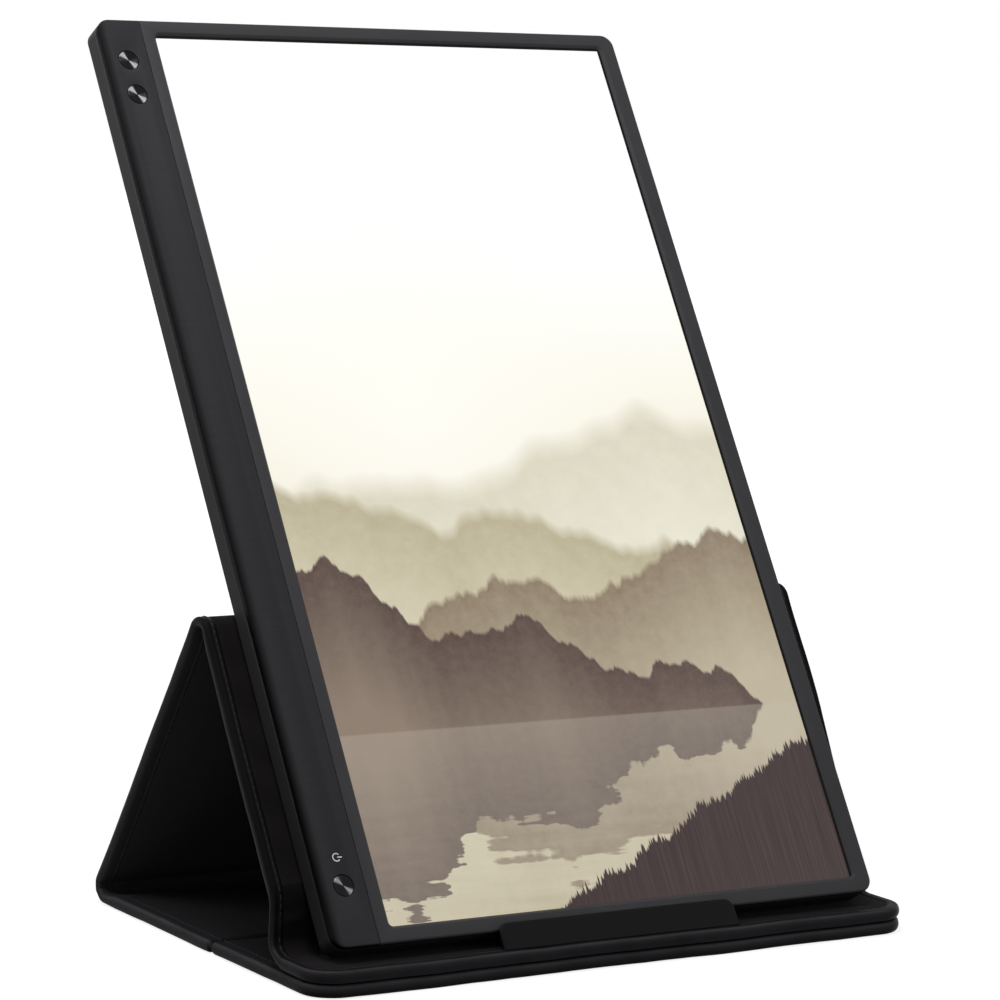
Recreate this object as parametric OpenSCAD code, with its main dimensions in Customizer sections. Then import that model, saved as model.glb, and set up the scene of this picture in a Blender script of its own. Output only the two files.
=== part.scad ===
// Portable monitor standing upright on its folding cover.
// X runs across the screen, Y to the rear, Z up; the cover lies on Z = 0.
// The monitor has its own flat frame: x across, y up the screen, z out of its face.

/* [Monitor] */
// Width of the lit area, across the upright screen
screen_w = 193.6; // [175:0.1:210]
// Height of the lit area
screen_h = 344.2; // [310:0.1:370]
// Bezel between the lit area and the right edge
bezel_right = 7.8; // [6:0.1:12]
// Bezel between the lit area and the seam of the chin strip
bezel_left = 6.2; // [4.5:0.1:10]
// Bezel above the lit area
bezel_top = 6.8; // [6:0.1:12]
// Bezel below the lit area
bezel_bottom = 6.2; // [5.5:0.1:12]
// Width of the chin strip that carries the buttons
chin_w = 17.3; // [15:0.1:24]
// Thickness of the whole monitor
body_t = 10.7; // [10.3:0.1:13]
// Corner radius of the case, seen from the front
corner_r = 5; // [4.5:0.5:9]
// Wall thickness of the case
wall = 1.4; // [1.2:0.1:1.8]
// Depth of the rear shell, up to the parting groove
shell_depth = 7.6; // [7:0.1:8.1]
// Width of the parting groove between shell and frame
groove = 0.5; // [0.3:0.1:0.8]
// Rounding of the rear shell's back edge
back_edge_r = 1; // [0.8:0.1:2.2]
// Rounding of the front frame's outer edge
front_edge_r = 0.8; // [0.4:0.1:1]
// Bevel round the screen opening
opening_bevel = 1.1; // [0.5:0.1:1.3]
// Black border between the lit area and the opening
black_border = 0.8; // [0.4:0.1:1.2]
// Corner radius of the screen opening
opening_r = 2; // [1:0.5:4]
// Gap at the seam between the chin strip and the frame
seam_gap = 0.3; // [0.1:0.05:0.5]

/* [Buttons and port] */
// Diameter of a button cap
button_d = 8.6; // [7:0.1:9.4]
// Gap round a button cap
button_gap = 0.25; // [0.15:0.05:0.4]
// Travel of a button
button_travel = 0.4; // [0.2:0.05:0.5]
// Distance of the buttons from the chin's outer edge
button_inset = 9.1; // [8:0.1:10]
// Height of the power button above the lower end
power_button_y = 21.6; // [15:0.1:40]
// Distance of the upper menu button from the upper end
menu_button_y = 17.1; // [12:0.1:30]
// Distance between the two menu buttons
menu_pitch = 14.2; // [12:0.1:25]
// Width of the port's metal shell
port_w = 8.94; // [8.5:0.01:9.2]
// Height of the port's metal shell
port_h = 3.2; // [3:0.05:3.3]
// Depth of the port
port_depth = 7.3; // [6:0.1:9]

/* [Cover] */
// How far the cover stands out beyond each side of the monitor
cover_overhang = 12; // [6:0.1:20]
// Leather thickness of the cover
skin_t = 1.2; // [0.6:0.1:1.6]
// Thickness of the stiffening boards
board_t = 2.4; // [1.8:0.1:3]
// Thickness of the lining
lining_t = 0.9; // [0.4:0.1:1.2]
// Width of the hem round the lining
hem_w = 5; // [4:0.5:8]
// Distance of the boards from the cover's edge
board_inset = 4; // [3:0.5:6]
// Corner radius at the cover's free ends
free_corner_r = 12; // [8:1:24]
// Angle between the monitor and the table
stand_angle = 57.5; // [52:0.1:66]
// Distance from crease to crease of both stand panels
panel_len = 122.5; // [105:0.1:140]
// Length of the leather at each crease, from the fold to the panel
crease_reach = 7; // [6:0.5:9]
// Length of the soft foot below the support panel
foot_len = 28; // [24:0.5:34]
// Air gap between the folded layers
layer_gap = 0.4; // [0.3:0.05:0.8]
// How far the rear panel stands off its fold line
rear_offset = 1.8; // [1:0.1:2.5]
// How far the support panel stands off its fold line
support_offset = 3; // [2:0.1:4]
// Distance of the base's middle crease from the rear fold
base_crease_at = 82; // [70:0.5:95]
// Width of the base's middle crease
base_crease_w = 5; // [3:0.5:8]
// Width of the lip that stops the monitor
lip_w = 99; // [60:1:140]
// Shift of the lip from the cover's middle
lip_shift = 1.5; // [-10:0.5:10]
// Length of the lip from its fold to its edge
lip_h = 8.5; // [8:0.5:14]
// Thickness of the lip
lip_t = 1.5; // [1:0.1:2]
// Distance of the lip's fold from the ledge's front edge
lip_margin = 3.8; // [3.5:0.1:8]
// Diameter of the holding magnets
magnet_d = 8; // [5:0.5:10]
// Number of magnets in a row
magnet_count = 4; // [2:1:6]

/* [Clearances] */
// Gap between pieces that rest on or slide past each other
rest_gap = 0.3; // [0.2:0.05:0.5]
// Gap round pieces that are fitted into a pocket
fit_gap = 0.15; // [0.1:0.05:0.3]

/* [Hidden] */
$fn = 48;

// Monitor, in its own frame: x = 0 at mid width, y = 0 at the lower end, z = 0 at the back
mon_w = chin_w + bezel_left + screen_w + bezel_right;
mon_h = bezel_bottom + screen_h + bezel_top;
seam_x = chin_w - mon_w / 2;
screen_x = seam_x + bezel_left;
screen_cx = screen_x + screen_w / 2;
screen_cy = bezel_bottom + screen_h / 2;
chin_x = seam_x - chin_w / 2;
button_x = button_inset - mon_w / 2;
frame_z = shell_depth + groove;
plate_z = body_t - wall;
rib_t = 0.8;
rib_drop = 1.2;
panel_t = 1.4;
panel_border = 3;
tray_t = 0.4;
guide_t = 2.2;
tray_z = plate_z - panel_t - guide_t - tray_t;
led_y = bezel_bottom - panel_border + tray_t + fit_gap;
led_w = 1.4;
floor_rib_t = 1.2;
floor_rib_count = 6;
rib_margin = 10;
driver_w = 14;
driver_x = screen_x - panel_border + driver_w / 2;
driver_len = 180;
driver_t = 0.8;
port_wall = 0.3;
port_back_t = 0.6;
port_back = port_depth + 0.3;
tongue_w = 6.6;
tongue_t = 0.7;
boss_h = 0.5;
boss_r = 2.1;
main_board_t = 1;
main_board_z = wall + boss_h;
main_board_w = chin_w - 4;
board_top = main_board_z + main_board_t;
flex_w = 30;
flex_t = 0.2;
screw_r = 0.7;
screw_head_r = 1.4;
screw_head_t = 0.6;
screw_ends = 45;
button_z = body_t - 0.05;
button_flange_r = button_d / 2 + 0.9;
button_flange_t = 0.5;
button_bevel = 0.2;
button_dish = 0.25;
stem_r = 1.5;
switch_h = 1.9;
switch_w = 4.5;
switch_dome_h = 0.7;
button_ys = [power_button_y, mon_h - menu_button_y, mon_h - menu_button_y - menu_pitch];

// Cover
cover_w = mon_w + 2 * cover_overhang;
layer_t = skin_t + board_t + lining_t;
edge_r = layer_t / 2;
run_on = free_corner_r + 1;
fold_z = layer_t + layer_gap / 2;
ledge_z = layer_t + layer_gap;
ledge_top = ledge_z + layer_t;
up = [0, cos(stand_angle), sin(stand_angle)];
out = [0, -sin(stand_angle), cos(stand_angle)];

// The ledge fold is the start; the monitor stands against the support panel and on the ledge
support_front = support_offset + layer_t + rest_gap;
mon_drop = back_edge_r * (sin(stand_angle) + cos(stand_angle) - 1);
mon_z = ledge_top + rest_gap - mon_drop;
mon_y = (mon_z - fold_z) / tan(stand_angle) - support_front / sin(stand_angle);
lip_z = ledge_top + lip_t / 2 + rest_gap;
lip_out = body_t + rest_gap + lip_t / 2;
lip_along = (lip_z - mon_z - lip_out * cos(stand_angle)) / sin(stand_angle);
lip_y = mon_y + lip_along * cos(stand_angle) - lip_out * sin(stand_angle);
ledge_front = lip_y - lip_margin;
ledge_back = 1;
half_base = panel_len * cos(stand_angle);
top_rear = mon_y + mon_h * cos(stand_angle) - mon_drop;
origin_y = -(ledge_front + top_rear) / 2;
ledge_len = -ledge_back - ledge_front;
panel_body = panel_len - 2 * crease_reach;
support_body = panel_len - crease_reach - foot_len;
base_rear_len = base_crease_at - crease_reach - base_crease_w / 2;
base_front_len = 2 * half_base - base_crease_at - base_crease_w / 2 - ledge_front;
magnet_t = 1.6;
foot_t = 3;
crease_t = 2;
lip_corner_r = 4;
lip_taper = 1;
magnet_margin = 20;

function arc(c, r, a0, a1, n) = [for (i = [0:n]) let (a = a0 + (a1 - a0) * i / n) c + r * [cos(a), sin(a)]];
// Points at a radius that runs evenly from r0 to r1
function spiral(r0, r1, a0, a1, n) =
    [for (i = [0:n]) let (a = a0 + (a1 - a0) * i / n) (r0 + (r1 - r0) * i / n) * [cos(a), sin(a)]];
function bezier(p, t) = pow(1 - t, 3) * p[0] + 3 * t * pow(1 - t, 2) * p[1]
    + 3 * t * t * (1 - t) * p[2] + pow(t, 3) * p[3];
function bezier_dir(p, t) = let (d = pow(1 - t, 2) * (p[1] - p[0]) + 2 * t * (1 - t) * (p[2] - p[1])
    + t * t * (p[3] - p[2])) d / norm(d);
function flip(list) = [for (i = [len(list) - 1:-1:0]) list[i]];

// Places
module in_stand() { translate([0, origin_y, 0]) children(); }
module in_monitor() { in_stand() translate([0, mon_y, mon_z]) rotate([stand_angle, 0, 0]) children(); }
// A panel's own frame: y along the panel away from its fold, z from its leather face to its lining
module on_base() { in_stand() translate([0, 2 * half_base, layer_t]) rotate([180, 0, 0]) children(); }
module on_rear() {
    in_stand() translate([0, 2 * half_base, fold_z]) rotate([180 - stand_angle, 0, 0]) mirror([0, 0, 1])
        translate([0, 0, rear_offset]) children();
}
module on_support() {
    in_stand() translate([0, 0, fold_z]) rotate([stand_angle, 0, 0])
        translate([0, 0, support_offset]) children();
}
module on_ledge() { in_stand() translate([0, ledge_front, ledge_z]) children(); }
// A cut through the cover: the drawing's x is Y and its y is Z
module across_cover() {
    in_stand() translate([-cover_w / 2, 0, 0]) rotate([90, 0, 90]) linear_extrude(cover_w) children();
}

// Flat outline from y = 0 to d, with corners ra at y = 0 and rb at y = d
module outline(w, d, ra, rb) {
    translate([-w / 2, ra]) square([w, d - ra - rb]);
    translate([ra - w / 2, 0]) square([w - 2 * ra, d / 2]);
    translate([rb - w / 2, d / 2]) square([w - 2 * rb, d / 2]);
    for (s = [-1, 1]) {
        translate([s * (w / 2 - ra), ra]) circle(ra);
        translate([s * (w / 2 - rb), d - rb]) circle(rb);
    }
}
module inset_outline(w, d, ra, rb, inset) {
    translate([0, inset]) outline(w - 2 * inset, d - 2 * inset, max(ra - inset, 0.5), max(rb - inset, 0.5));
}
// Round bar of radius r along the inside of the outline
module edge_bar(w, d, ra, rb, r) {
    translate([0, r, 0]) rotate([0, 90, 0]) cylinder(r = r, h = w - 2 * ra, center = true);
    translate([0, d - r, 0]) rotate([0, 90, 0]) cylinder(r = r, h = w - 2 * rb, center = true);
    for (s = [-1, 1]) {
        translate([s * (w / 2 - r), ra, 0]) rotate([-90, 0, 0]) cylinder(r = r, h = d - ra - rb);
        translate([s * (w / 2 - ra), ra, 0]) corner_bar(s > 0 ? 270 : 180, ra, r);
        translate([s * (w / 2 - rb), d - rb, 0]) corner_bar(s > 0 ? 0 : 90, rb, r);
    }
}
module corner_bar(turn, big_r, r) {
    rotate([0, 0, turn]) rotate_extrude(angle = 90) translate([big_r - r, 0]) circle(r);
}
// Plate with its lower and upper edges rounded by lo and hi
module round_slab(w, d, t, ra, rb, lo, hi) {
    if (t - lo - hi > 0.01) translate([0, 0, lo]) linear_extrude(t - lo - hi) outline(w, d, ra, rb);
    linear_extrude(lo) inset_outline(w, d, ra, rb, lo);
    translate([0, 0, lo]) edge_bar(w, d, ra, rb, lo);
    translate([0, 0, t - hi]) linear_extrude(hi) inset_outline(w, d, ra, rb, hi);
    translate([0, 0, t - hi]) edge_bar(w, d, ra, rb, hi);
}

// Rear half of the case
module rear_shell() color("#2b2b2e") in_monitor() difference() {
    union() {
        difference() {
            round_slab(mon_w, mon_h, shell_depth, corner_r, corner_r, back_edge_r, 0.3);
            translate([0, 0, wall]) linear_extrude(shell_depth)
                inset_outline(mon_w, mon_h, corner_r, corner_r, wall);
        }
        floor_ribs();
        for (p = screw_points) translate([p[0], p[1], wall - 0.1]) cylinder(r = boss_r, h = boss_h + 0.1);
    }
    for (p = screw_points) translate([p[0], p[1], wall / 2]) cylinder(r = screw_r + 0.05, h = body_t);
    port_hole();
}
screw_points = [for (t = [screw_ends, mon_h / 2, mon_h - screw_ends]) [chin_x - main_board_w / 2 + 3, t]];
// Ribs on the shell's floor that carry the screen's tray, cut away round the driver board
module floor_ribs() difference() {
    union() {
        for (i = [0:floor_rib_count - 1])
            translate([screen_x - panel_border, rib_y(i), wall - 0.1])
                cube([screen_w + 2 * panel_border, floor_rib_t, tray_z - wall + 0.1]);
        for (s = [-1, 0, 1])
            translate([screen_cx + s * screen_w / 3 - floor_rib_t / 2, screen_cy - screen_h / 2, wall - 0.1])
                cube([floor_rib_t, screen_h, tray_z - wall + 0.1]);
    }
    translate([driver_x - rest_gap, screen_cy - driver_len / 2 - rest_gap, tray_z - driver_t - rest_gap])
        cube([driver_w + 2 * rest_gap, driver_len + 2 * rest_gap, driver_t + 1]);
}
function rib_y(i) = screen_cy + (i / (floor_rib_count - 1) - 0.5) * (screen_h - 2 * rib_margin) - floor_rib_t / 2;
module port_hole() {
    translate([chin_x, mon_h, board_top + port_h / 2]) rotate([90, 0, 0])
        linear_extrude(3 * wall, center = true) pill(port_w + 2 * fit_gap, port_h + 2 * fit_gap);
}
// Rectangle with half-round ends
module pill(w, h) {
    square([w - h, h], center = true);
    for (s = [-1, 1]) translate([s * (w - h) / 2, 0]) circle(h / 2);
}

// Front of the case in one piece, before it is parted at the seam
module whole_front() difference() {
    union() {
        difference() {
            translate([0, 0, frame_z])
                round_slab(mon_w, mon_h, body_t - frame_z, corner_r, corner_r, 0.3, front_edge_r);
            translate([0, 0, frame_z - 1]) linear_extrude(plate_z - frame_z + 1)
                inset_outline(mon_w, mon_h, corner_r, corner_r, wall);
        }
        translate([0, 0, frame_z - rib_drop]) linear_extrude(plate_z - frame_z + rib_drop + 0.1) difference() {
            inset_outline(mon_w, mon_h, corner_r, corner_r, wall + fit_gap);
            inset_outline(mon_w, mon_h, corner_r, corner_r, wall + fit_gap + rib_t);
        }
    }
    port_hole();
}
module screen_opening() {
    w = screen_w + 2 * black_border;
    h = screen_h + 2 * black_border;
    translate([screen_cx, screen_cy - h / 2, plate_z - 0.5]) linear_extrude(wall + 1)
        outline(w, h, opening_r, opening_r);
    for (s = [-1, 1]) {
        translate([screen_cx + s * w / 2, screen_cy, body_t]) rotate([90, 0, 0])
            linear_extrude(h + 2 * opening_bevel, center = true) bevel_cut();
        translate([screen_cx, screen_cy + s * h / 2, body_t]) rotate([90, 0, 90])
            linear_extrude(w, center = true) bevel_cut();
    }
}
module bevel_cut() {
    b = opening_bevel;
    polygon([[-b, 0], [0, -b], [b, 0], [0, b]]);
}
module front_frame() color("#333336") in_monitor() difference() {
    intersection() {
        whole_front();
        translate([seam_x + seam_gap / 2, -1, 0]) cube([mon_w, mon_h + 2, body_t + 1]);
    }
    screen_opening();
}
module chin_cover() color("#2a2a2d") in_monitor() difference() {
    intersection() {
        whole_front();
        translate([seam_x - seam_gap / 2 - mon_w, -1, 0]) cube([mon_w, mon_h + 2, body_t + 1]);
    }
    for (y = button_ys)
        translate([button_x, y, plate_z - 1]) cylinder(d = button_d + 2 * button_gap, h = wall + 2);
}

// Screen module
module panel_plate(z, t, border) {
    translate([screen_cx - screen_w / 2 - border, screen_cy - screen_h / 2 - border, z])
        cube([screen_w + 2 * border, screen_h + 2 * border, t]);
}
module lcd_panel() color("#e9e4da") in_monitor()
    panel_plate(plate_z - panel_t, panel_t, panel_border - tray_t - fit_gap);
module light_guide() color("#f4f6f7") in_monitor() difference() {
    panel_plate(plate_z - panel_t - guide_t, guide_t, panel_border - tray_t - fit_gap);
    translate([screen_cx - screen_w / 2 - fit_gap, led_y - 1, tray_z])
        cube([screen_w + 2 * fit_gap, led_w + fit_gap + 1, body_t]);
}
module lcd_tray() color("#b9bdc1") in_monitor() difference() {
    panel_plate(tray_z, tray_t + guide_t, panel_border);
    panel_plate(tray_z + tray_t, guide_t + 1, panel_border - tray_t);
}
module led_bar() color("#f2f2e6") in_monitor()
    translate([screen_cx - screen_w / 2, led_y, tray_z + tray_t]) cube([screen_w, led_w, guide_t - fit_gap]);
module driver_board() color("#1d5b39") in_monitor()
    translate([driver_x, screen_cy - driver_len / 2, tray_z - driver_t]) difference() {
        cube([driver_w, driver_len, driver_t]);
        for (y = [driver_w / 2, driver_len - driver_w / 2])
            translate([driver_w / 2, y, -1]) cylinder(r = 1, h = driver_t + 2);
    }

// Electronics in the chin
module main_board() color("#1d5b39") in_monitor() difference() {
    translate([chin_x - main_board_w / 2, corner_r, main_board_z])
        cube([main_board_w, mon_h - 2 * corner_r, main_board_t]);
    for (p = screw_points) translate([p[0], p[1], 0]) cylinder(r = screw_r + 0.15, h = body_t);
}
module board_screws() color("#9a9da1") in_monitor()
    for (p = screw_points) translate([p[0], p[1], 0]) difference() {
        union() {
            translate([0, 0, board_top]) cylinder(r = screw_head_r, h = screw_head_t);
            translate([0, 0, wall / 2 + 0.1]) cylinder(r = screw_r, h = board_top - wall / 2);
        }
        translate([0, 0, board_top + screw_head_t / 2]) cylinder(r = screw_r * 0.85, h = 1);
    }
// Flat cable from the main board up to the driver board behind the screen
module flex_cable() color("#b9772e") in_monitor() translate([0, screen_cy - flex_w / 2, 0]) {
    x0 = chin_x + main_board_w / 4;
    x1 = driver_x + driver_w / 2;
    z1 = tray_z - driver_t;
    rotate([90, 0, 0]) mirror([0, 0, 1]) linear_extrude(flex_w) polygon([[x0, board_top], [x1, board_top],
        [x1, z1], [x1 - flex_t, z1], [x1 - flex_t, board_top + flex_t], [x0, board_top + flex_t]]);
}
module port_shell() color("#c4c6c9") in_monitor()
    translate([chin_x, mon_h - port_back, board_top + port_h / 2]) rotate([-90, 0, 0]) difference() {
        linear_extrude(port_depth) pill(port_w, port_h);
        translate([0, 0, port_back_t]) linear_extrude(port_depth)
            pill(port_w - 2 * port_wall, port_h - 2 * port_wall);
    }
module port_tongue() color("#1b1b1c") in_monitor()
    translate([chin_x - tongue_w / 2, mon_h - port_back + port_back_t, board_top + (port_h - tongue_t) / 2])
        cube([tongue_w, port_depth - port_back_t - 0.8, tongue_t]);
module key_switches() color("#c9b26a") in_monitor()
    for (y = button_ys) translate([button_x, y, board_top]) {
        body_h = switch_h - switch_dome_h;
        translate([-switch_w / 2, -switch_w / 2, 0]) cube([switch_w, switch_w, body_h]);
        translate([0, 0, body_h]) cylinder(r1 = switch_w * 0.38, r2 = switch_w * 0.3, h = switch_dome_h);
    }
// Button cap with a spun dish, a flange that keeps it in, and a stem down to its switch
module button_cap(y) {
    flange_top = plate_z - rest_gap / 2;
    stem_end = board_top + switch_h + button_travel + 0.1;
    r = button_d / 2;
    translate([button_x, y, 0]) rotate_extrude() polygon([[0, stem_end], [stem_r, stem_end],
        [stem_r, flange_top - button_flange_t], [button_flange_r, flange_top - button_flange_t],
        [button_flange_r, flange_top], [r, flange_top], [r, button_z - button_bevel],
        [r - button_bevel, button_z], [0, button_z - button_dish]]);
}
module power_button() color("#54555a") in_monitor() button_cap(button_ys[0]);
module menu_button_upper() color("#54555a") in_monitor() button_cap(button_ys[1]);
module menu_button_lower() color("#54555a") in_monitor() button_cap(button_ys[2]);

// Cover panels: a leather skin turned over the edges, a board in it, and a lining inside the hem.
// Each runs from y = 0 to len; an end is free, with round corners, or lies at a fold and is cut square.
module panel_skin(len, free_a, free_b) difference() {
    cut_to(len) run_out(len, free_a, free_b, 0) round_slab(cover_w, run_len(len, free_a, free_b), layer_t,
        free_corner_r, free_corner_r, edge_r, edge_r);
    board_plate(len, free_a, free_b, board_inset);
    lining_plate(len, free_a, free_b, hem_w, 1);
}
module panel_board(len, free_a, free_b) board_plate(len, free_a, free_b, board_inset + fit_gap);
module board_plate(len, free_a, free_b, inset) intersection() {
    r = free_corner_r - inset;
    run_out(len, free_a, free_b, inset) translate([0, 0, skin_t]) linear_extrude(board_t)
        outline(cover_w - 2 * inset, run_len(len, free_a, free_b) - 2 * inset, r, r);
    translate([-cover_w / 2, inset, 0]) cube([cover_w, len - 2 * inset, layer_t]);
}
module panel_lining(len, free_a, free_b) cut_to(len) lining_plate(len, free_a, free_b, hem_w + fit_gap, 0);
module lining_plate(len, free_a, free_b, hem, extra) {
    r = free_corner_r - hem;
    run_out(len, free_a, free_b, hem) translate([0, 0, skin_t + board_t]) linear_extrude(lining_t + extra)
        outline(cover_w - 2 * hem, run_len(len, free_a, free_b) - 2 * hem, r, r);
}
function run_len(len, free_a, free_b) = len + (free_a ? 0 : run_on) + (free_b ? 0 : run_on);
module run_out(len, free_a, free_b, hem) { translate([0, (free_a ? 0 : -run_on) + hem, 0]) children(); }
module cut_to(len) intersection() {
    children();
    translate([-cover_w, 0, -1]) cube([2 * cover_w, len, layer_t + 2]);
}
module magnet_row(y, gap) {
    for (i = [0:magnet_count - 1])
        translate([((i + 0.5) / magnet_count - 0.5) * (cover_w - 2 * magnet_margin), y, skin_t])
            cylinder(d = magnet_d + 2 * gap, h = magnet_t + gap);
}

module base_rear_at() { on_base() translate([0, crease_reach, 0]) children(); }
module base_front_at() { on_base() translate([0, base_crease_at + base_crease_w / 2, 0]) children(); }
module base_rear_skin() color("#1d1c1e") base_rear_at() panel_skin(base_rear_len, false, false);
module base_rear_board() color("#5b5148") base_rear_at() panel_board(base_rear_len, false, false);
module base_rear_lining() color("#262427") base_rear_at() panel_lining(base_rear_len, false, false);
module base_crease() color("#1d1c1e") on_base()
    translate([edge_r - cover_w / 2, base_crease_at - base_crease_w / 2, crease_t / 2])
        cube([cover_w - layer_t, base_crease_w, crease_t]);
module base_front_skin() color("#1d1c1e") base_front_at() panel_skin(base_front_len, false, true);
module base_front_board() color("#5b5148") base_front_at() difference() {
    panel_board(base_front_len, false, true);
    magnet_row(base_front_len - ledge_len / 2, fit_gap);
}
module base_front_lining() color("#262427") base_front_at() panel_lining(base_front_len, false, true);
module base_magnets() color("#8f9296") base_front_at() magnet_row(base_front_len - ledge_len / 2, 0);

module rear_at() { on_rear() translate([0, crease_reach, 0]) children(); }
module rear_panel_skin() color("#1d1c1e") rear_at() panel_skin(panel_body, false, false);
module rear_panel_board() color("#5b5148") rear_at() panel_board(panel_body, false, false);
module rear_panel_lining() color("#262427") rear_at() panel_lining(panel_body, false, false);

module support_at() { on_support() translate([0, foot_len, 0]) children(); }
module support_skin() color("#1d1c1e") support_at() panel_skin(support_body, false, false);
module support_board() color("#5b5148") support_at() panel_board(support_body, false, false);
module support_lining() color("#262427") support_at() panel_lining(support_body, false, false);

module ledge_skin() color("#1d1c1e") on_ledge() panel_skin(ledge_len, true, false);
module ledge_board() color("#5b5148") on_ledge() difference() {
    panel_board(ledge_len, true, false);
    magnet_row(ledge_len / 2, fit_gap);
}
module ledge_lining() color("#262427") on_ledge() panel_lining(ledge_len, true, false);
module ledge_magnets() color("#8f9296") on_ledge() magnet_row(ledge_len / 2, 0);

// Leather at the rear fold: from under the base, round the back, up to the rear panel
module rear_crease() color("#1a191b") across_cover() translate([2 * half_base, fold_z]) {
    r0 = fold_z;
    r1 = rear_offset + layer_t;
    a1 = 90 - stand_angle;
    reach = crease_reach;
    rise = (reach - fit_gap) * [-cos(stand_angle), sin(stand_angle)];
    polygon(concat([[-reach, -r0]], spiral(r0, r1, -90, a1, 14),
        [r1 * [cos(a1), sin(a1)] + rise], [(r1 - crease_t) * [cos(a1), sin(a1)] + rise],
        flip(spiral(r0 - crease_t, r1 - crease_t, -90, a1, 14)), [[-reach, crease_t - r0]]));
}
// Leather over the ridge, from the rear panel to the support panel
module ridge_crease() color("#1a191b") across_cover()
    translate([half_base, fold_z + panel_len * sin(stand_angle)]) {
    r0 = rear_offset + layer_t;
    r1 = support_offset + layer_t;
    a0 = 90 - stand_angle;
    a1 = 90 + stand_angle;
    reach = crease_reach;
    down0 = reach * [cos(stand_angle), -sin(stand_angle)];
    down1 = (reach - fit_gap) * [-cos(stand_angle), -sin(stand_angle)];
    polygon(concat([r0 * [cos(a0), sin(a0)] + down0], spiral(r0, r1, a0, a1, 16),
        [r1 * [cos(a1), sin(a1)] + down1, (r1 - crease_t) * [cos(a1), sin(a1)] + down1],
        flip(spiral(r0 - crease_t, r1 - crease_t, a0, a1, 16)),
        [(r0 - crease_t) * [cos(a0), sin(a0)] + down0]));
}
// Soft foot of the support panel, which bends forward into the ledge
module foot_crease() color("#1a191b") across_cover() {
    top = [0, fold_z] + foot_len * [up[1], up[2]] + (support_offset + layer_t / 2) * [out[1], out[2]];
    low = [fit_gap - ledge_back, ledge_z + layer_t / 2];
    path = [top, top - [foot_len * 0.1, foot_len * 0.5], low + [foot_len * 0.2, 0], low];
    n = 16;
    way = [for (i = [0:n]) i == 0 ? -[up[1], up[2]] : bezier_dir(path, i / n)];
    across = [for (d = way) foot_t / 2 * [-d[1], d[0]]];
    left = [for (i = [0:n]) bezier(path, i / n) + across[i]];
    right = [for (i = [0:n]) bezier(path, i / n) - across[i]];
    polygon(concat(left, flip(right)));
}
// Lip that stands up in front of the monitor's lower edge
module lip() color("#222123") in_stand() translate([lip_shift, lip_y, lip_z]) rotate([stand_angle, 0, 0]) {
    r = lip_corner_r;
    x = lip_w / 2 - r - lip_taper;
    rotate([0, 90, 0]) cylinder(d = lip_t, h = lip_w, center = true);
    translate([0, 0, -lip_t / 2]) linear_extrude(lip_t) polygon(concat([[-lip_w / 2, 0]],
        flip(arc([-x, lip_h - r], r, 90, 180, 8)), flip(arc([x, lip_h - r], r, 0, 90, 8)), [[lip_w / 2, 0]]));
}

rear_shell();
front_frame();
chin_cover();
lcd_panel();
light_guide();
lcd_tray();
led_bar();
driver_board();
main_board();
board_screws();
flex_cable();
port_shell();
port_tongue();
key_switches();
power_button();
menu_button_upper();
menu_button_lower();
base_rear_skin();
base_rear_board();
base_rear_lining();
base_crease();
base_front_skin();
base_front_board();
base_front_lining();
base_magnets();
rear_crease();
rear_panel_skin();
rear_panel_board();
rear_panel_lining();
ridge_crease();
support_skin();
support_board();
support_lining();
foot_crease();
ledge_skin();
ledge_board();
ledge_lining();
ledge_magnets();
lip();
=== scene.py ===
import math

import bpy
from mathutils import Matrix, Vector, noise


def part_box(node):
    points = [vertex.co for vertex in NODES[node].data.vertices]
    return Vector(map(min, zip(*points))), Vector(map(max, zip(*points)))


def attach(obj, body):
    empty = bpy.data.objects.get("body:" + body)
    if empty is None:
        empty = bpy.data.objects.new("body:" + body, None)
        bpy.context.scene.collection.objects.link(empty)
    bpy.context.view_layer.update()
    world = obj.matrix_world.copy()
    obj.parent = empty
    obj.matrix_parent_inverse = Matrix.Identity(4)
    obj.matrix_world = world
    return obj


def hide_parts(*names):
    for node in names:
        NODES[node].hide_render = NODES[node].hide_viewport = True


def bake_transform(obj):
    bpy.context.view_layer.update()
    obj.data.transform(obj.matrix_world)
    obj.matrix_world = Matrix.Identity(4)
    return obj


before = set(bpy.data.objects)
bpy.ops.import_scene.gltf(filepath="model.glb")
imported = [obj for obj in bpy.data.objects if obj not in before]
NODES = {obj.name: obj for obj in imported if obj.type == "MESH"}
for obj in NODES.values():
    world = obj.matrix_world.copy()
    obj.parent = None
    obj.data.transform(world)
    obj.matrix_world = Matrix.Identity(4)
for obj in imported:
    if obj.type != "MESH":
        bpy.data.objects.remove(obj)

noise.seed_set(543)  # without it, the leather would stray another way in every run

bl_info = {
    "name": "Portable monitor on its folding cover",
    "version": (1, 0, 0),
    "blender": (4, 5, 0),
    "location": "3D View > Sidebar > Monitor",
    "description": "Dresses the packed monitor and its folding cover with finished pieces and materials",
    "category": "Add Mesh",
}

MM = 0.001
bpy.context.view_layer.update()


def low(node):
    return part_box(node)[0]


def high(node):
    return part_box(node)[1]


# Places in the part's frame, as Y or as (Y, Z).
LEDGE_START = low("ledge_skin").y
LEDGE_FOLD = LEDGE_START + 23.317 * MM
MONITOR_FOOT = (-87.2656 * MM, 9.3193 * MM)  # the lower edge of the monitor's back
LIP_FOOT = (-100.477 * MM, 10.45 * MM)  # where the lip's middle meets the ledge

# How far in and how deep the stitches are, on both sides of the cover.
LINING_SEAM, LINING_SINK = 3.15 * MM, 0.12 * MM
LEATHER_SEAM, LEATHER_SINK = 5.0 * MM, 0.14 * MM
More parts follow.
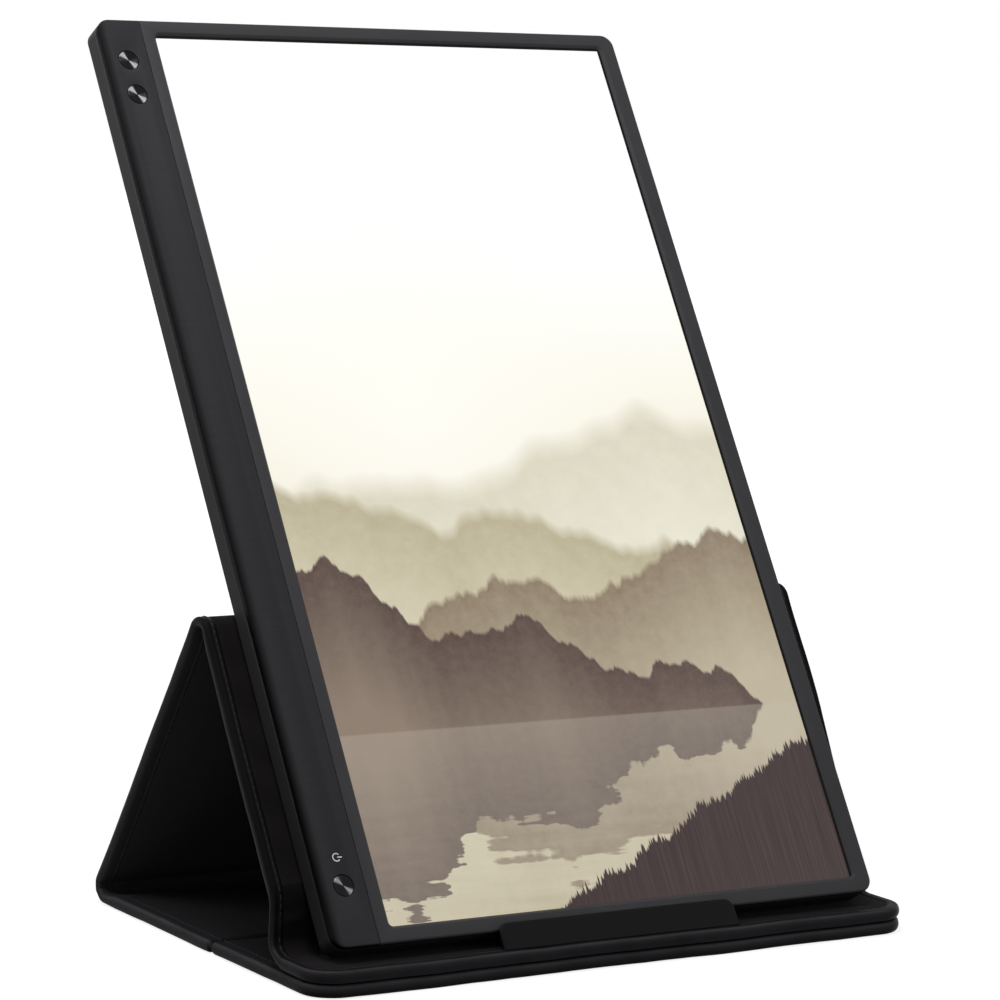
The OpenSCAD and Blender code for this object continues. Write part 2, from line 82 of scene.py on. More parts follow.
# The lining's edge over a fold, as (inset, height) in millimetres.
LINING_SECTION = [(4.6, 4.0), (4.6, 4.18), (4.9, 4.26), (6.2, 4.3)]
BASE_PAINTED_FILL = 0.2  # how much of the panels' painted fill light the base's upper side gets

WEDGE_TURN = 2 * math.radians(48)  # turns the two painted highlight wedges of a button
CASE_CORNER = 5 * MM
FEW_POINTS = 60 * MM  # between the points on the straight edges of a stiff plate
MERGE = 2e-6  # points nearer than this are one
HAIR = 0.01 * MM  # an inset too small to see, before a face is moved straight in or out


class CoverSizes(bpy.types.PropertyGroup):
    width: bpy.props.FloatProperty(
        name="Width", description="Width of the folding cover",
        default=high("ledge_skin").x - low("ledge_skin").x, unit="LENGTH")
    layer: bpy.props.FloatProperty(
        name="Layer", description="Thickness of one layer of the cover",
        default=high("ledge_skin").z - low("ledge_skin").z, unit="LENGTH")
    corner: bpy.props.FloatProperty(
        name="Corner", description="Corner radius at the cover's free ends", default=12 * MM, unit="LENGTH")
    panel: bpy.props.FloatProperty(
        name="Panel", description="Distance from fold to fold of both stand panels",
        default=122.5 * MM, unit="LENGTH")
    reach: bpy.props.FloatProperty(
        name="Reach", description="Length of the leather from a fold to its panel",
        default=7 * MM, unit="LENGTH")
    lift_off: bpy.props.FloatProperty(
        name="Lift off", description="Where the base leather leaves the table, from the rear fold",
        default=11.5 * MM, unit="LENGTH")
    foot: bpy.props.FloatProperty(
        name="Foot", description="Length of the soft foot below the support panel",
        default=28 * MM, unit="LENGTH")
    angle: bpy.props.FloatProperty(
        name="Angle", description="Angle between the monitor and the table",
        default=math.radians(57.5), subtype="ANGLE")
    rear_offset: bpy.props.FloatProperty(
        name="Rear offset", description="How far the rear panel stands off its fold line",
        default=1.8 * MM, unit="LENGTH")
    support_offset: bpy.props.FloatProperty(
        name="Support offset", description="How far the support panel stands off its fold line",
        default=3 * MM, unit="LENGTH")
    edge: bpy.props.FloatProperty(
        name="Edge", description="How far the rounded edge reaches into a layer",
        default=1.3 * MM, unit="LENGTH")
    hem: bpy.props.FloatProperty(
        name="Hem", description="Width of the hem round the lining", default=5 * MM, unit="LENGTH")
    stitch: bpy.props.FloatProperty(
        name="Stitch", description="Length of a stitch with its gap", default=3 * MM, unit="LENGTH")
    thread: bpy.props.FloatProperty(
        name="Thread", description="Thickness of the sewing thread", default=0.6 * MM, unit="LENGTH")
    draw_in: bpy.props.FloatProperty(
        name="Draw in", description="How far the soft right edge of the support is drawn in above its foot",
        default=3.2 * MM, unit="LENGTH")
    crumple: bpy.props.FloatProperty(
        name="Crumple", description="How far the leather's surface wanders", default=0.45 * MM, unit="LENGTH")


class MonitorSizes(bpy.types.PropertyGroup):
    lit_width: bpy.props.FloatProperty(
        name="Lit width", description="Width of the lit area", default=193.6 * MM, unit="LENGTH")
    lit_height: bpy.props.FloatProperty(
        name="Lit height", description="Height of the lit area", default=344.2 * MM, unit="LENGTH")
    lit_centre: bpy.props.FloatVectorProperty(
        name="Lit centre", description="Middle of the lit area in the monitor's own frame",
        default=(7.85 * MM, 178.3 * MM), size=2, unit="LENGTH")
    border: bpy.props.FloatProperty(
        name="Border", description="Black border round the lit area", default=0.8 * MM, unit="LENGTH")
    glass: bpy.props.FloatProperty(
        name="Glass", description="Height of the screen's face above the monitor's back",
        default=9.3 * MM, unit="LENGTH")
    face: bpy.props.FloatProperty(
        name="Face", description="Height of the front above the monitor's back",
        default=10.7 * MM, unit="LENGTH")
    case_width: bpy.props.FloatProperty(
        name="Case width", description="Width of the whole monitor", default=224.9 * MM, unit="LENGTH")
    case_height: bpy.props.FloatProperty(
        name="Case height", description="Height of the whole monitor", default=357.2 * MM, unit="LENGTH")
    seam: bpy.props.FloatProperty(
        name="Seam", description="Place of the seam between chin and bezel",
        default=-95.15 * MM, unit="LENGTH")
    parting: bpy.props.FloatProperty(
        name="Parting", description="Height of the front part's rim above the monitor's back",
        default=8.1 * MM, unit="LENGTH")
    button: bpy.props.FloatProperty(
        name="Button", description="Diameter of a button cap", default=7.6 * MM, unit="LENGTH")
    dish: bpy.props.FloatProperty(
        name="Dish", description="Depth of the spun dish in a button", default=0.25 * MM, unit="LENGTH")
    buttons_x: bpy.props.FloatProperty(
        name="Buttons across", description="Place of the buttons across the monitor",
        default=-103.35 * MM, unit="LENGTH")
    symbol_y: bpy.props.FloatProperty(
        name="Symbol", description="Height of the power symbol above the lower end",
        default=31.7 * MM, unit="LENGTH")


class FinishColours(bpy.types.PropertyGroup):
    case: bpy.props.FloatVectorProperty(
        name="Case", description="Moulded case", default=(0.051, 0.0502, 0.053), size=3, subtype="COLOR")
    shell: bpy.props.FloatVectorProperty(
        name="Shell", description="Rear shell of the case", default=(0.044, 0.0435, 0.046), size=3,
        subtype="COLOR")
    chin: bpy.props.FloatVectorProperty(
        name="Chin", description="Brushed chin strip", default=(0.0315, 0.0305, 0.0328), size=3,
        subtype="COLOR")
    leather: bpy.props.FloatVectorProperty(
        name="Leather", description="Leather of the cover", default=(0.0062, 0.0058, 0.0063), size=3,
        subtype="COLOR")
    lining: bpy.props.FloatVectorProperty(
        name="Lining", description="Cloth that lines the cover", default=(0.0085, 0.0074, 0.008), size=3,
        subtype="COLOR")
    lip: bpy.props.FloatVectorProperty(
        name="Lip", description="Lip that stops the monitor", default=(0.0045, 0.0044, 0.0047), size=3,
        subtype="COLOR")
    steel: bpy.props.FloatVectorProperty(
        name="Spun steel", description="Dark metal of the buttons", default=(0.014, 0.014, 0.0152), size=3,
        subtype="COLOR")


def fold_points():
    """The rear fold, the ridge and the ledge fold, as (Y, Z)."""
    cover = bpy.context.scene.cover_sizes
    c, s = math.cos(cover.angle), math.sin(cover.angle)
    z = cover.layer + 0.2 * MM
    rear = LEDGE_FOLD + 2 * cover.panel * c
    ridge = LEDGE_FOLD + cover.panel * c
    return Vector((rear, z)), Vector((ridge, z + cover.panel * s)), Vector((LEDGE_FOLD, z))


def axes_matrix(origin, along, outward):
    """A panel's place: y runs along it, z from its leather to its lining."""
    y, z = Vector((0, along[0], along[1])), Vector((0, outward[0], outward[1]))
    x = y.cross(z)
    m = Matrix((x, y, z)).transposed().to_4x4()
    m.translation = Vector((0, origin[0], origin[1]))
    return m


def panel_place(which):
    cover = bpy.context.scene.cover_sizes
    rear, _, front = fold_points()
    c, s = math.cos(cover.angle), math.sin(cover.angle)
    if which == "base":
        return axes_matrix((rear.x, cover.layer), (-1, 0), (0, -1))
    if which == "rear_panel":
        n = Vector((s, c))
        return axes_matrix(rear + n * cover.rear_offset, (-c, s), n)
    if which == "support":
        n = Vector((-s, c))
        return axes_matrix(front + n * cover.support_offset, (c, s), n)
    return axes_matrix((LEDGE_START, low("ledge_skin").z), (1, 0), (0, 1))


def monitor_place():
    """The monitor's own frame: x across, y up the screen, z out of its face."""
    cover = bpy.context.scene.cover_sizes
    c, s = math.cos(cover.angle), math.sin(cover.angle)
    m = Matrix(((1, 0, 0), (0, c, -s), (0, s, c))).to_4x4()
    m.translation = Vector((0, *MONITOR_FOOT))
    return m


def begin():
    if bpy.context.mode != "OBJECT":
        bpy.ops.object.mode_set(mode="OBJECT")
    bpy.ops.object.select_all(action="DESELECT")


def only(piece):
    begin()
    piece.select_set(True)
    bpy.context.view_layer.objects.active = piece


def edit():
    bpy.ops.object.mode_set(mode="EDIT")
    bpy.ops.mesh.select_all(action="SELECT")


def leave():
    bpy.ops.object.mode_set(mode="OBJECT")


def choose(piece, kind, test):
    """Selects the piece's vertices or faces that pass a test, and nothing else, and stays in edit mode."""
    bpy.context.tool_settings.mesh_select_mode = (kind == "vertices", False, kind == "polygons")
    edit()
    bpy.ops.mesh.select_all(action="DESELECT")
    leave()
    found = [item for item in getattr(piece.data, kind) if test(item)]
    for item in found:
        item.select = True
    bpy.ops.object.mode_set(mode="EDIT")
    return len(found)


def settle(piece, place=None):
    """Puts the piece's place into its mesh."""
    only(piece)
    bpy.ops.object.transform_apply(location=True, rotation=True, scale=True)
    if place is not None:
        piece.data.transform(place)
    return piece


def smooth(piece, angle=40):
    only(piece)
    bpy.ops.object.shade_smooth_by_angle(angle=math.radians(angle))


def mesh_piece(name, verts, faces):
    mesh = bpy.data.meshes.new(name)
    mesh.from_pydata(verts, [], faces)
    mesh.update()
    piece = bpy.data.objects.new(name, mesh)
    bpy.context.scene.collection.objects.link(piece)
    return piece


def dress(piece, material):
    piece.data.materials.clear()
    piece.data.materials.append(material)
    return piece


def ring_profile():
    """The edge of a cover layer as (inset, height), from its leather face round the edge to its lining.
    Both faces carry a sewn bead between two shallow grooves."""
    cover = bpy.context.scene.cover_sizes
    r = cover.layer / 2
    t = cover.layer
    lower = [(7.0, 0), (6.3, 0.1), (5.9, 0.2), (5.5, 0.0), (5.15, -0.1), (4.8, 0.0), (4.4, 0.2),
             (4.0, 0.1), (3.1, 0), (1.6, 0)]
    upper = [(1.6, 0), (2.2, 0.02), (2.5, 0.12), (2.8, -0.04), (3.15, -0.12), (3.5, -0.04), (3.8, 0.12),
             (4.3, 0.2), (4.5, 0.5)]
    turn = [math.radians(a) for a in range(-90, 91, 15)]
    points = [(x * MM, z * MM) for x, z in lower]
    points += [(cover.edge * (1 - math.cos(a)), r + r * math.sin(a)) for a in turn]
    points += [(x * MM, t - z * MM) for x, z in upper]
    return points


def edge_highlight(inset, height, crest):
    """Painted highlight on the leather's edge at a place, and a little on the bead. crest says which corner
    of the edge shows it most, from the leather's side at 0 to the lining's side at 1."""
    cover = bpy.context.scene.cover_sizes
    r = cover.layer / 2
    if inset <= cover.edge + 0.1 * MM:
        turn = math.degrees(math.asin(max(-1.0, min(1.0, (height - r) / r))))
        peak = crest * math.exp(-((turn - 58) / 18) ** 2) + (1 - crest) * math.exp(-((turn + 50) / 24) ** 2)
        side = ramp(abs(turn), 90, 50) * (1 - (1 - crest) * ramp(turn, 0, 45))
        return min(1.0, 0.42 * side + 0.6 * peak)
    return 0.22 if 2.7 * MM < inset < 3.6 * MM and height > r else 0.0


def ramp(value, start, end):
    """Rises smoothly from 0 at start to 1 at end."""
    k = min(max((value - start) / (end - start), 0.0), 1.0)
    return k * k * (3 - 2 * k)


def wander(co):
    """How the soft leather strays from its true shape at a point."""
    cover = bpy.context.scene.cover_sizes
    slow = noise.noise_vector(co * 28 + Vector((3.1, 7.7, 1.3)))
    quick = noise.noise_vector(co * 95 + Vector((9.2, 2.4, 5.8)))
    drawn = ramp(co.z, 90 * MM, 45 * MM) * ramp(co.z, 10 * MM, 22 * MM) * ramp(co.x, 60 * MM, 120 * MM)
    if co.y > fold_points()[1].x:
        drawn = 0
    return (slow * 0.75 + quick * 0.25) * cover.crumple - Vector((cover.draw_in * drawn, 0, 0))


def crumple(piece):
    for v in piece.data.vertices:
        v.co += wander(v.co)
    return piece


def outline_points(width, y0, y1, corner, spacing):
    """Points round a plate with round corners, close enough for its edges to wander softly."""
    points = []
    ends = ((width / 2 - corner, y1 - corner, 0), (corner - width / 2, y1 - corner, 90),
            (corner - width / 2, y0 + corner, 180), (width / 2 - corner, y0 + corner, 270))
    for x, y, first in ends:
        for i in range(10):
            a = math.radians(first + 10 * i)
            points.append(Vector((x + corner * math.cos(a), y + corner * math.sin(a))))
    whole = []
    for p, q in zip(points, points[1:] + points[:1]):
        n = max(1, round((q - p).length / spacing))
        whole += [p.lerp(q, k / n) for k in range(n)]
    return whole


def rounded_plane(name, width, y0, y1, corner, z, spacing=5 * MM):
    points = outline_points(width, y0, y1, corner, spacing)
    begin()
    bpy.ops.mesh.primitive_circle_add(vertices=len(points), fill_type="NGON", location=(0, 0, 0))
    piece = bpy.context.object
    piece.name = piece.data.name = name
    for v, p in zip(piece.data.vertices, points):
        v.co = (p.x, p.y, z)
    piece.data.update()
    if piece.data.polygons[0].normal.z < 0:
        edit()
        bpy.ops.mesh.flip_normals()
        leave()
    bpy.context.tool_settings.mesh_select_mode = (False, False, True)
    return piece


def build_profile(piece, upper, lower):
    """Insets the plate's face along a profile, above and below."""
    edit()
    bpy.ops.mesh.duplicate()
    bpy.ops.mesh.flip_normals()
    for thickness, depth in lower:
        bpy.ops.mesh.inset(thickness=thickness, depth=depth)
    bpy.ops.mesh.select_all(action="DESELECT")
    leave()
    for p in piece.data.polygons:
        p.select = p.normal.z > 0.9
    start = sum(p.select for p in piece.data.polygons)
    if start != 1:
        raise RuntimeError("the plate has no single upper face")
    bpy.ops.object.mode_set(mode="EDIT")
    for thickness, depth in upper:
        bpy.ops.mesh.inset(thickness=thickness, depth=depth)
    bpy.ops.mesh.select_all(action="SELECT")
    bpy.ops.mesh.remove_doubles(threshold=MERGE)
    leave()


def cut_ends(piece, y0, y1):
    """Cuts a plate off straight at one end or both."""
    only(piece)
    edit()
    if y0 is not None:
        bpy.ops.mesh.bisect(plane_co=(0, y0, 0), plane_no=(0, -1, 0), use_fill=True, clear_outer=True)
        bpy.ops.mesh.select_all(action="SELECT")
    if y1 is not None:
        bpy.ops.mesh.bisect(plane_co=(0, y1, 0), plane_no=(0, 1, 0), use_fill=True, clear_outer=True)
    leave()


def steps(points):
    return [(b[0] - a[0], b[1] - a[1]) for a, b in zip(points, points[1:])]


def quarter_turn(r):
    """The steps of an edge rounded by r."""
    turn = [math.radians(k) for k in range(0, 91, 15)]
    return steps([(r - r * math.cos(k), r * math.sin(k)) for k in turn])


def mark_places(piece, painted_highlight, light):
    """Stores the painted highlight at each point of the leather's edge, and the painted fill light on its own
    side.
    """
    for name, values in (("rim", painted_highlight), ("inner", light)):
        piece.data.attributes.new(name, "FLOAT", "POINT").data.foreach_set("value", values)


def painted_fill(height, share):
    """How much painted fill light the leather gets at a height of its section, where only its own side is."""
    return share * (height < 0.6 * MM)


def plan_uv(piece):
    """Lays the panel's own x and y into the UV map, in centimetres, before it is put in its place."""
    layer = piece.data.uv_layers.new(name="UVMap")
    for loop in piece.data.loops:
        co = piece.data.vertices[loop.vertex_index].co
        layer.data[loop.index].uv = (co.x * 100, co.y * 100)


def leather_panel(name, which, start, length, free_end):
    """A flat layer of the cover: y runs from start for its length, and a free end has round corners."""
    cover = bpy.context.scene.cover_sizes
    run = cover.corner + MM
    y0, y1 = start - (0 if free_end == "start" else run), start + length + (0 if free_end == "end" else run)
    points = ring_profile()
    middle = next(i for i, p in enumerate(points) if p[0] < 1e-7)
    piece = rounded_plane(name, cover.width, y0, y1, cover.corner, cover.layer / 2)
    below = [(x, -z) for x, z in points[middle::-1]]
    build_profile(piece, steps(points[middle:]), steps(below))
    cut_ends(piece, None if free_end == "start" else start, None if free_end == "end" else start + length)
    plan_uv(piece)
    half, r = cover.width / 2, cover.corner

    def inset(v):
        x = half - abs(v.co.x)
        if free_end is None:
            return x
        y = y1 - v.co.y if free_end == "end" else v.co.y - y0
        if x < r and y < r:
            return r - math.hypot(r - x, r - y)
        return min(x, y)

    crest = 1 if which == "ledge" else 0
    share = BASE_PAINTED_FILL if which == "base" else 1
    mark_places(piece, [edge_highlight(inset(v), v.co.z, crest) for v in piece.data.vertices],
                [painted_fill(v.co.z, share) for v in piece.data.vertices])
    piece.data.transform(panel_place(which))
    crumple(piece)
    smooth(piece, 50)
    return piece


def lining_panel(name, which, start, length, free_end):
    cover = bpy.context.scene.cover_sizes
    run = cover.corner + MM
    y0, y1 = start - (0 if free_end == "start" else run), start + length + (0 if free_end == "end" else run)
    hem = cover.hem - 0.42 * MM
    piece = rounded_plane(name, cover.width - 2 * hem, y0 + hem, y1 - hem, cover.corner - hem,
                          cover.layer - 0.5 * MM)
    build_profile(piece, [(0.06 * MM, 0.18 * MM), (0.3 * MM, 0.08 * MM), (1.2 * MM, 0.04 * MM)],
                  [(0.1 * MM, 0.1 * MM)])
    cut_ends(piece, None if free_end == "start" else start, None if free_end == "end" else start + length)
    plan_uv(piece)
    piece.data.transform(panel_place(which))
    crumple(piece)
    smooth(piece, 50)
    return piece


def strip(name, way, points, top, thin, shape=None, crest=0, shades=(1, 1)):
    """Leather or lining over a fold. way holds (place, outward) pairs on its lining side, as (Y, Z);
    points is its section as (inset, height), thin gives how thick it is at each place, from 0 to 1,
    shape moves a point by where it is along and across the fold, crest is the painted edge highlight's at its
    far end, and shades says how much painted fill light the leather's own side gets at both ends."""
    cover = bpy.context.scene.cover_sizes
    half = cover.width / 2
    across = [x * MM for x in (12, 18, 24, 30, 44, 60, 80, 100)]
    lead = [(x, points[0][1]) for x in reversed(across) if x > points[0][0]]
    tail = [(x, points[-1][1]) for x in across if x > points[-1][0]]
    points = lead + list(points) + tail
    section = [(half - x, z) for x, z in points] + [(x - half, z) for x, z in reversed(points)]
    verts = []
    travelled = [0.0]
    for (a, _), (b, _) in zip(way, way[1:]):
        travelled.append(travelled[-1] + (b - a).length)
    for s, (p, n), k in zip(travelled, way, thin):
        for x, z in section:
            q = p + n * (z - top) * k
            if shape:
                dx, dn = shape(s / travelled[-1], x)
                x, q = x + dx, q + n * dn
            verts.append((x, q.x, q.y))
    m = len(section)
    faces = []
    for i in range(len(way) - 1):
        for j in range(m):
            a, b = i * m + j, i * m + (j + 1) % m
            faces.append((a, b, b + m, a + m))
    faces.append(tuple(range(m - 1, -1, -1)))
    faces.append(tuple(range((len(way) - 1) * m, len(way) * m)))
    piece = mesh_piece(name, verts, faces)
    layer = piece.data.uv_layers.new(name="UVMap")
    for loop in piece.data.loops:
        i, j = divmod(loop.vertex_index, m)
        layer.data[loop.index].uv = (section[j][0] * 100, travelled[i] * 100)
    shares = [s / travelled[-1] for s in travelled]
    mark_places(piece, [edge_highlight(half - abs(x), z, crest * s) for s in shares for x, z in section],
                [painted_fill(z, shades[0] + (shades[1] - shades[0]) * s) for s in shares for _, z in section])
    only(piece)
    edit()
    bpy.ops.mesh.normals_make_consistent(inside=False)
    leave()
    crumple(piece)
    smooth(piece, 50)
    return piece


def spiral_way(centre, r0, r1, a0, a1, lead0, lead1, count=18):
    """A fold's way: straight for lead0, round the centre from a0 to a1, and straight for lead1."""
    way = []
    d0, d1 = Vector((math.cos(a0), math.sin(a0))), Vector((math.cos(a1), math.sin(a1)))
    t0, t1 = Vector((-d0.y, d0.x)), Vector((-d1.y, d1.x))
    for k in range(4):
        way.append((centre + d0 * r0 - t0 * lead0 * (1 - k / 4), d0))
    for i in range(count + 1):
        a = a0 + (a1 - a0) * i / count
        d = Vector((math.cos(a), math.sin(a)))
        way.append((centre + d * (r0 + (r1 - r0) * i / count), d))
    for k in range(1, 5):
        way.append((centre + d1 * r1 + t1 * lead1 * k / 4, d1))
    return way


def facet_way(centre, r0, r1, a1, lead0, lead1):
    """The rear fold's way: off the table in one slanted facet, with a soft turn at both ends."""
    d1 = Vector((math.cos(a1), math.sin(a1)))
    t1 = Vector((-d1.y, d1.x))
    start, end = centre + Vector((-lead0, -r0)), centre + d1 * r1 + t1 * lead1
    marks = [start, centre + Vector((1.5 * MM - lead0, -r0)), centre + Vector((0.8 * MM, 0.3 * MM - r0)),
             centre + Vector((4.9 * MM, -1.2 * MM)), centre + Vector((5.3 * MM, 3.6 * MM)), end]
    raw = []
    for a, b in zip(marks, marks[1:]):
        count = max(2, round((b - a).length / MM))
        raw += [a.lerp(b, k / count) for k in range(count)]
    raw.append(end)
    for _ in range(2):
        eased = [(a + b * 2 + c) / 4 for a, b, c in zip(raw, raw[1:], raw[2:])]
        raw = [raw[0], *eased, raw[-1]]
    way = []
    for i, p in enumerate(raw):
        d = raw[min(i + 1, len(raw) - 1)] - raw[max(i - 1, 0)]
        n = Vector((d.y, -d.x)).normalized()
        if i == 0:
            n = Vector((0, -1))
        if i == len(raw) - 1:
            n = d1
        way.append((p, n))
    return way


def thinning(way, least, soft):
    """Full thickness at both ends of a fold, and least between them."""
    length = [0.0]
    for (a, _), (b, _) in zip(way, way[1:]):
        length.append(length[-1] + (b - a).length)
    out = []
    for s in length:
        out.append(1 - (1 - least) * ramp(min(s, length[-1] - s), 0, soft))
    return out


def stitch_shape(name):
    """One stitch: a short thread that dips into the leather at both ends."""
    cover = bpy.context.scene.cover_sizes
    begin()
    bpy.ops.mesh.primitive_cylinder_add(vertices=6, radius=cover.thread / 2, depth=cover.stitch * 0.82,
                                        rotation=(math.pi / 2, 0, 0))
    piece = bpy.context.object
    piece.name = name
    settle(piece)
    edit()
    bpy.ops.mesh.bisect(plane_co=(0, -cover.stitch * 0.27, 0), plane_no=(0, 1, 0))
    bpy.ops.mesh.select_all(action="SELECT")
    bpy.ops.mesh.bisect(plane_co=(0, cover.stitch * 0.27, 0), plane_no=(0, 1, 0))
    leave()
    for v in piece.data.vertices:
        if abs(v.co.y) > cover.stitch * 0.35:
            v.co.x *= 0.55
            v.co.z = v.co.z * 0.55 - cover.thread * 0.6
    return piece


def sew(name, lines, place=None):
    """Copies the stitch along lines of (point, outward) pairs and joins the copies into one piece."""
    cover = bpy.context.scene.cover_sizes
    model = stitch_shape(name + "_one")
    shape = [v.co.copy() for v in model.data.vertices]
    polys = [tuple(p.vertices) for p in model.data.polygons]
    bpy.data.objects.remove(model)
    verts, faces = [], []
    for line in lines:
        dist = [0.0]
        for (a, _), (b, _) in zip(line, line[1:]):
            dist.append(dist[-1] + (b - a).length)
        count = max(1, round(dist[-1] / cover.stitch))
        step = dist[-1] / count
        k = 0
        for i in range(count):
            s = (i + 0.5) * step
            while k < len(dist) - 2 and dist[k + 1] < s:
                k += 1
            (a, na), (b, nb) = line[k], line[k + 1]
            f = (s - dist[k]) / max(dist[k + 1] - dist[k], 1e-9)
            p, n = a.lerp(b, f), na.lerp(nb, f).normalized()
            y = (b - a).normalized()
            z = (n - y * n.dot(y)).normalized()
            m = Matrix((y.cross(z), y, z)).transposed().to_4x4()
            m.translation = p
            if place is not None:
                m = place @ m
            start = len(verts)
            verts += [m @ co for co in shape]
            faces += [tuple(start + v for v in poly) for poly in polys]
    piece = mesh_piece(name, verts, faces)
    crumple(piece)
    smooth(piece, 60)
    return piece


def panel_lines(start, length, free_end, inset, z, outward):
    """Where a panel is sewn: along both sides, and round a free end."""
    cover = bpy.context.scene.cover_sizes
    half, r = cover.width / 2 - inset, cover.corner - inset
    n = Vector((0, 0, outward))
    end = start + length
    if free_end is None:
        return [[(Vector((x, start, z)), n), (Vector((x, end, z)), n)] for x in (-half, half)]
    if free_end == "end":
        y, turn, far = end - inset - r, 1, start
    else:
        y, turn, far = start + inset + r, -1, end
    line = [(Vector((-half, far, z)), n)]
    for i in range(13):
        a = math.radians(180 - 90 * i / 12)
        line.append((Vector((r - half + r * math.cos(a), y + turn * r * math.sin(a), z)), n))
    for i in range(13):
        a = math.radians(90 - 90 * i / 12)
        line.append((Vector((half - r + r * math.cos(a), y + turn * r * math.sin(a), z)), n))
    line.append((Vector((half, far, z)), n))
    return [line]


def fold_lines(way, thin, inset, top, z, side):
    half = bpy.context.scene.cover_sizes.width / 2 - inset
    lines = []
    for x in (-half, half):
        line = []
        for (p, n), k in zip(way, thin):
            q = p + n * (z - top) * k
            line.append((Vector((x, q.x, q.y)), Vector((0, n.x, n.y)) * side))
        lines.append(line)
    return lines


class Nodes:
    """A short hand for a material's nodes."""

    def __init__(self, name):
        self.material = bpy.data.materials.new(name)
        self.material.use_nodes = True
        self.tree = self.material.node_tree
        self.shader = self.tree.nodes["Principled BSDF"]

    def add(self, kind, inputs=None, **values):
        node = self.tree.nodes.new(kind)
        for key, value in values.items():
            setattr(node, key, value)
        for key, value in (inputs or {}).items():
            self.put(node, key, value)
        return node

    def put(self, node, key, value):
        if isinstance(value, bpy.types.NodeSocket):
            self.tree.links.new(value, node.inputs[key])
        else:
            node.inputs[key].default_value = value

    def coords(self, kind="Object", scale=(1, 1, 1), turn=(0, 0, 0), move=(0, 0, 0)):
        source = self.add("ShaderNodeTexCoord")
        return self.add("ShaderNodeMapping", {"Vector": source.outputs[kind], "Scale": scale,
                                              "Rotation": turn, "Location": move}).outputs[0]

    def noise(self, vector, scale, detail=3, roughness=0.5):
        return self.add("ShaderNodeTexNoise", {"Vector": vector, "Scale": scale, "Detail": detail,
                                               "Roughness": roughness}).outputs[0]

    def cells(self, vector, scale, feature="DISTANCE_TO_EDGE"):
        node = self.add("ShaderNodeTexVoronoi", {"Vector": vector, "Scale": scale}, feature=feature)
        return node.outputs[0]

    def span(self, value, a, b, c, d):
        return self.add("ShaderNodeMapRange", {"Value": value, "From Min": a, "From Max": b, "To Min": c,
                                               "To Max": d}).outputs[0]

    def calc(self, a, b, how="ADD"):
        node = self.add("ShaderNodeMath", operation=how)
        self.put(node, 0, a)
        self.put(node, 1, b)
        return node.outputs[0]

    def blend(self, factor, a, b):
        node = self.add("ShaderNodeMix", data_type="RGBA")
        self.put(node, 0, factor)
        for key, value in ((6, a), (7, b)):
            if not isinstance(value, bpy.types.NodeSocket):
                value = (*value[:3], 1)
            self.put(node, key, value)
        return node.outputs[2]

    def bump(self, height, strength, distance, below=None):
        inputs = {"Height": height, "Strength": strength, "Distance": distance}
        if below is not None:
            inputs["Normal"] = below
        return self.add("ShaderNodeBump", inputs).outputs[0]

    def surface(self, **values):
        for key, value in values.items():
            self.put(self.shader, key.replace("_", " "), value)


def scaled(colour, k):
    return tuple(c * k for c in colour[:3])


def own_place(n, axis):
    """Where a point is in the monitor's own frame: along the screen at 1, above its back at 2."""
    place = monitor_place().inverted()
    turned = n.coords(turn=(-bpy.context.scene.cover_sizes.angle, 0, 0), move=tuple(place.translation))
    return n.add("ShaderNodeSeparateXYZ", {"Vector": turned}).outputs[axis]


def painted_wall_shade(n, tone, colour, below):
    """Painted shade: the front part darkens softly towards its left side and on the wall below a height."""
    left = -bpy.context.scene.monitor_sizes.case_width / 2
    across = n.add("ShaderNodeSeparateXYZ", {"Vector": n.coords()}).outputs[0]
    wall = n.span(own_place(n, 2), below, below + 0.5 * MM, 1, 0)
    dark = n.calc(wall, n.span(across, left, left + 3.2 * MM, 1, 0), "MAXIMUM")
    return n.blend(dark, tone, scaled(colour, 0.06))


def moulded(name, colour, rough=0.42, specular=0.3, grain=9000, depth=0.02 * MM, wall=None, edges=None):
    """Fine matt moulded or painted surface with a slight cloudiness."""
    n = Nodes(name)
    co = n.coords()
    cloud = n.noise(co, 18, 4)
    fine = n.noise(co, grain, 2)
    tone = n.blend(n.span(cloud, 0.3, 0.7, 0, 1), scaled(colour, 0.9), scaled(colour, 1.1))
    tone = n.blend(n.span(fine, 0.35, 0.65, 0, 1), n.blend(0.5, tone, scaled(colour, 0.85)), tone)
    # Painted shade on the left side and on the wall below the given height.
    if wall:
        tone = painted_wall_shade(n, tone, colour, wall)
    if edges:
        # Painted highlight along the edges at the given heights, and painted shade that darkens the lower
        # end.
        height = own_place(n, 2)
        near = n.calc(n.span(height, edges[0], edges[0] + 0.7 * MM, 1, 0),
                     n.span(height, edges[1] - 0.7 * MM, edges[1], 0, 1), "MAXIMUM")
        tone = n.blend(near, tone, scaled(colour, 1.5))
        tone = n.blend(n.span(own_place(n, 1), 0, 240 * MM, 0.72, 0), tone, scaled(colour, 0.2))
    n.surface(Base_Color=tone,
              Roughness=n.span(cloud, 0.3, 0.7, rough - 0.03, rough + 0.04), Specular_IOR_Level=specular,
              Normal=n.bump(fine, 0.25, depth))
    return n.material


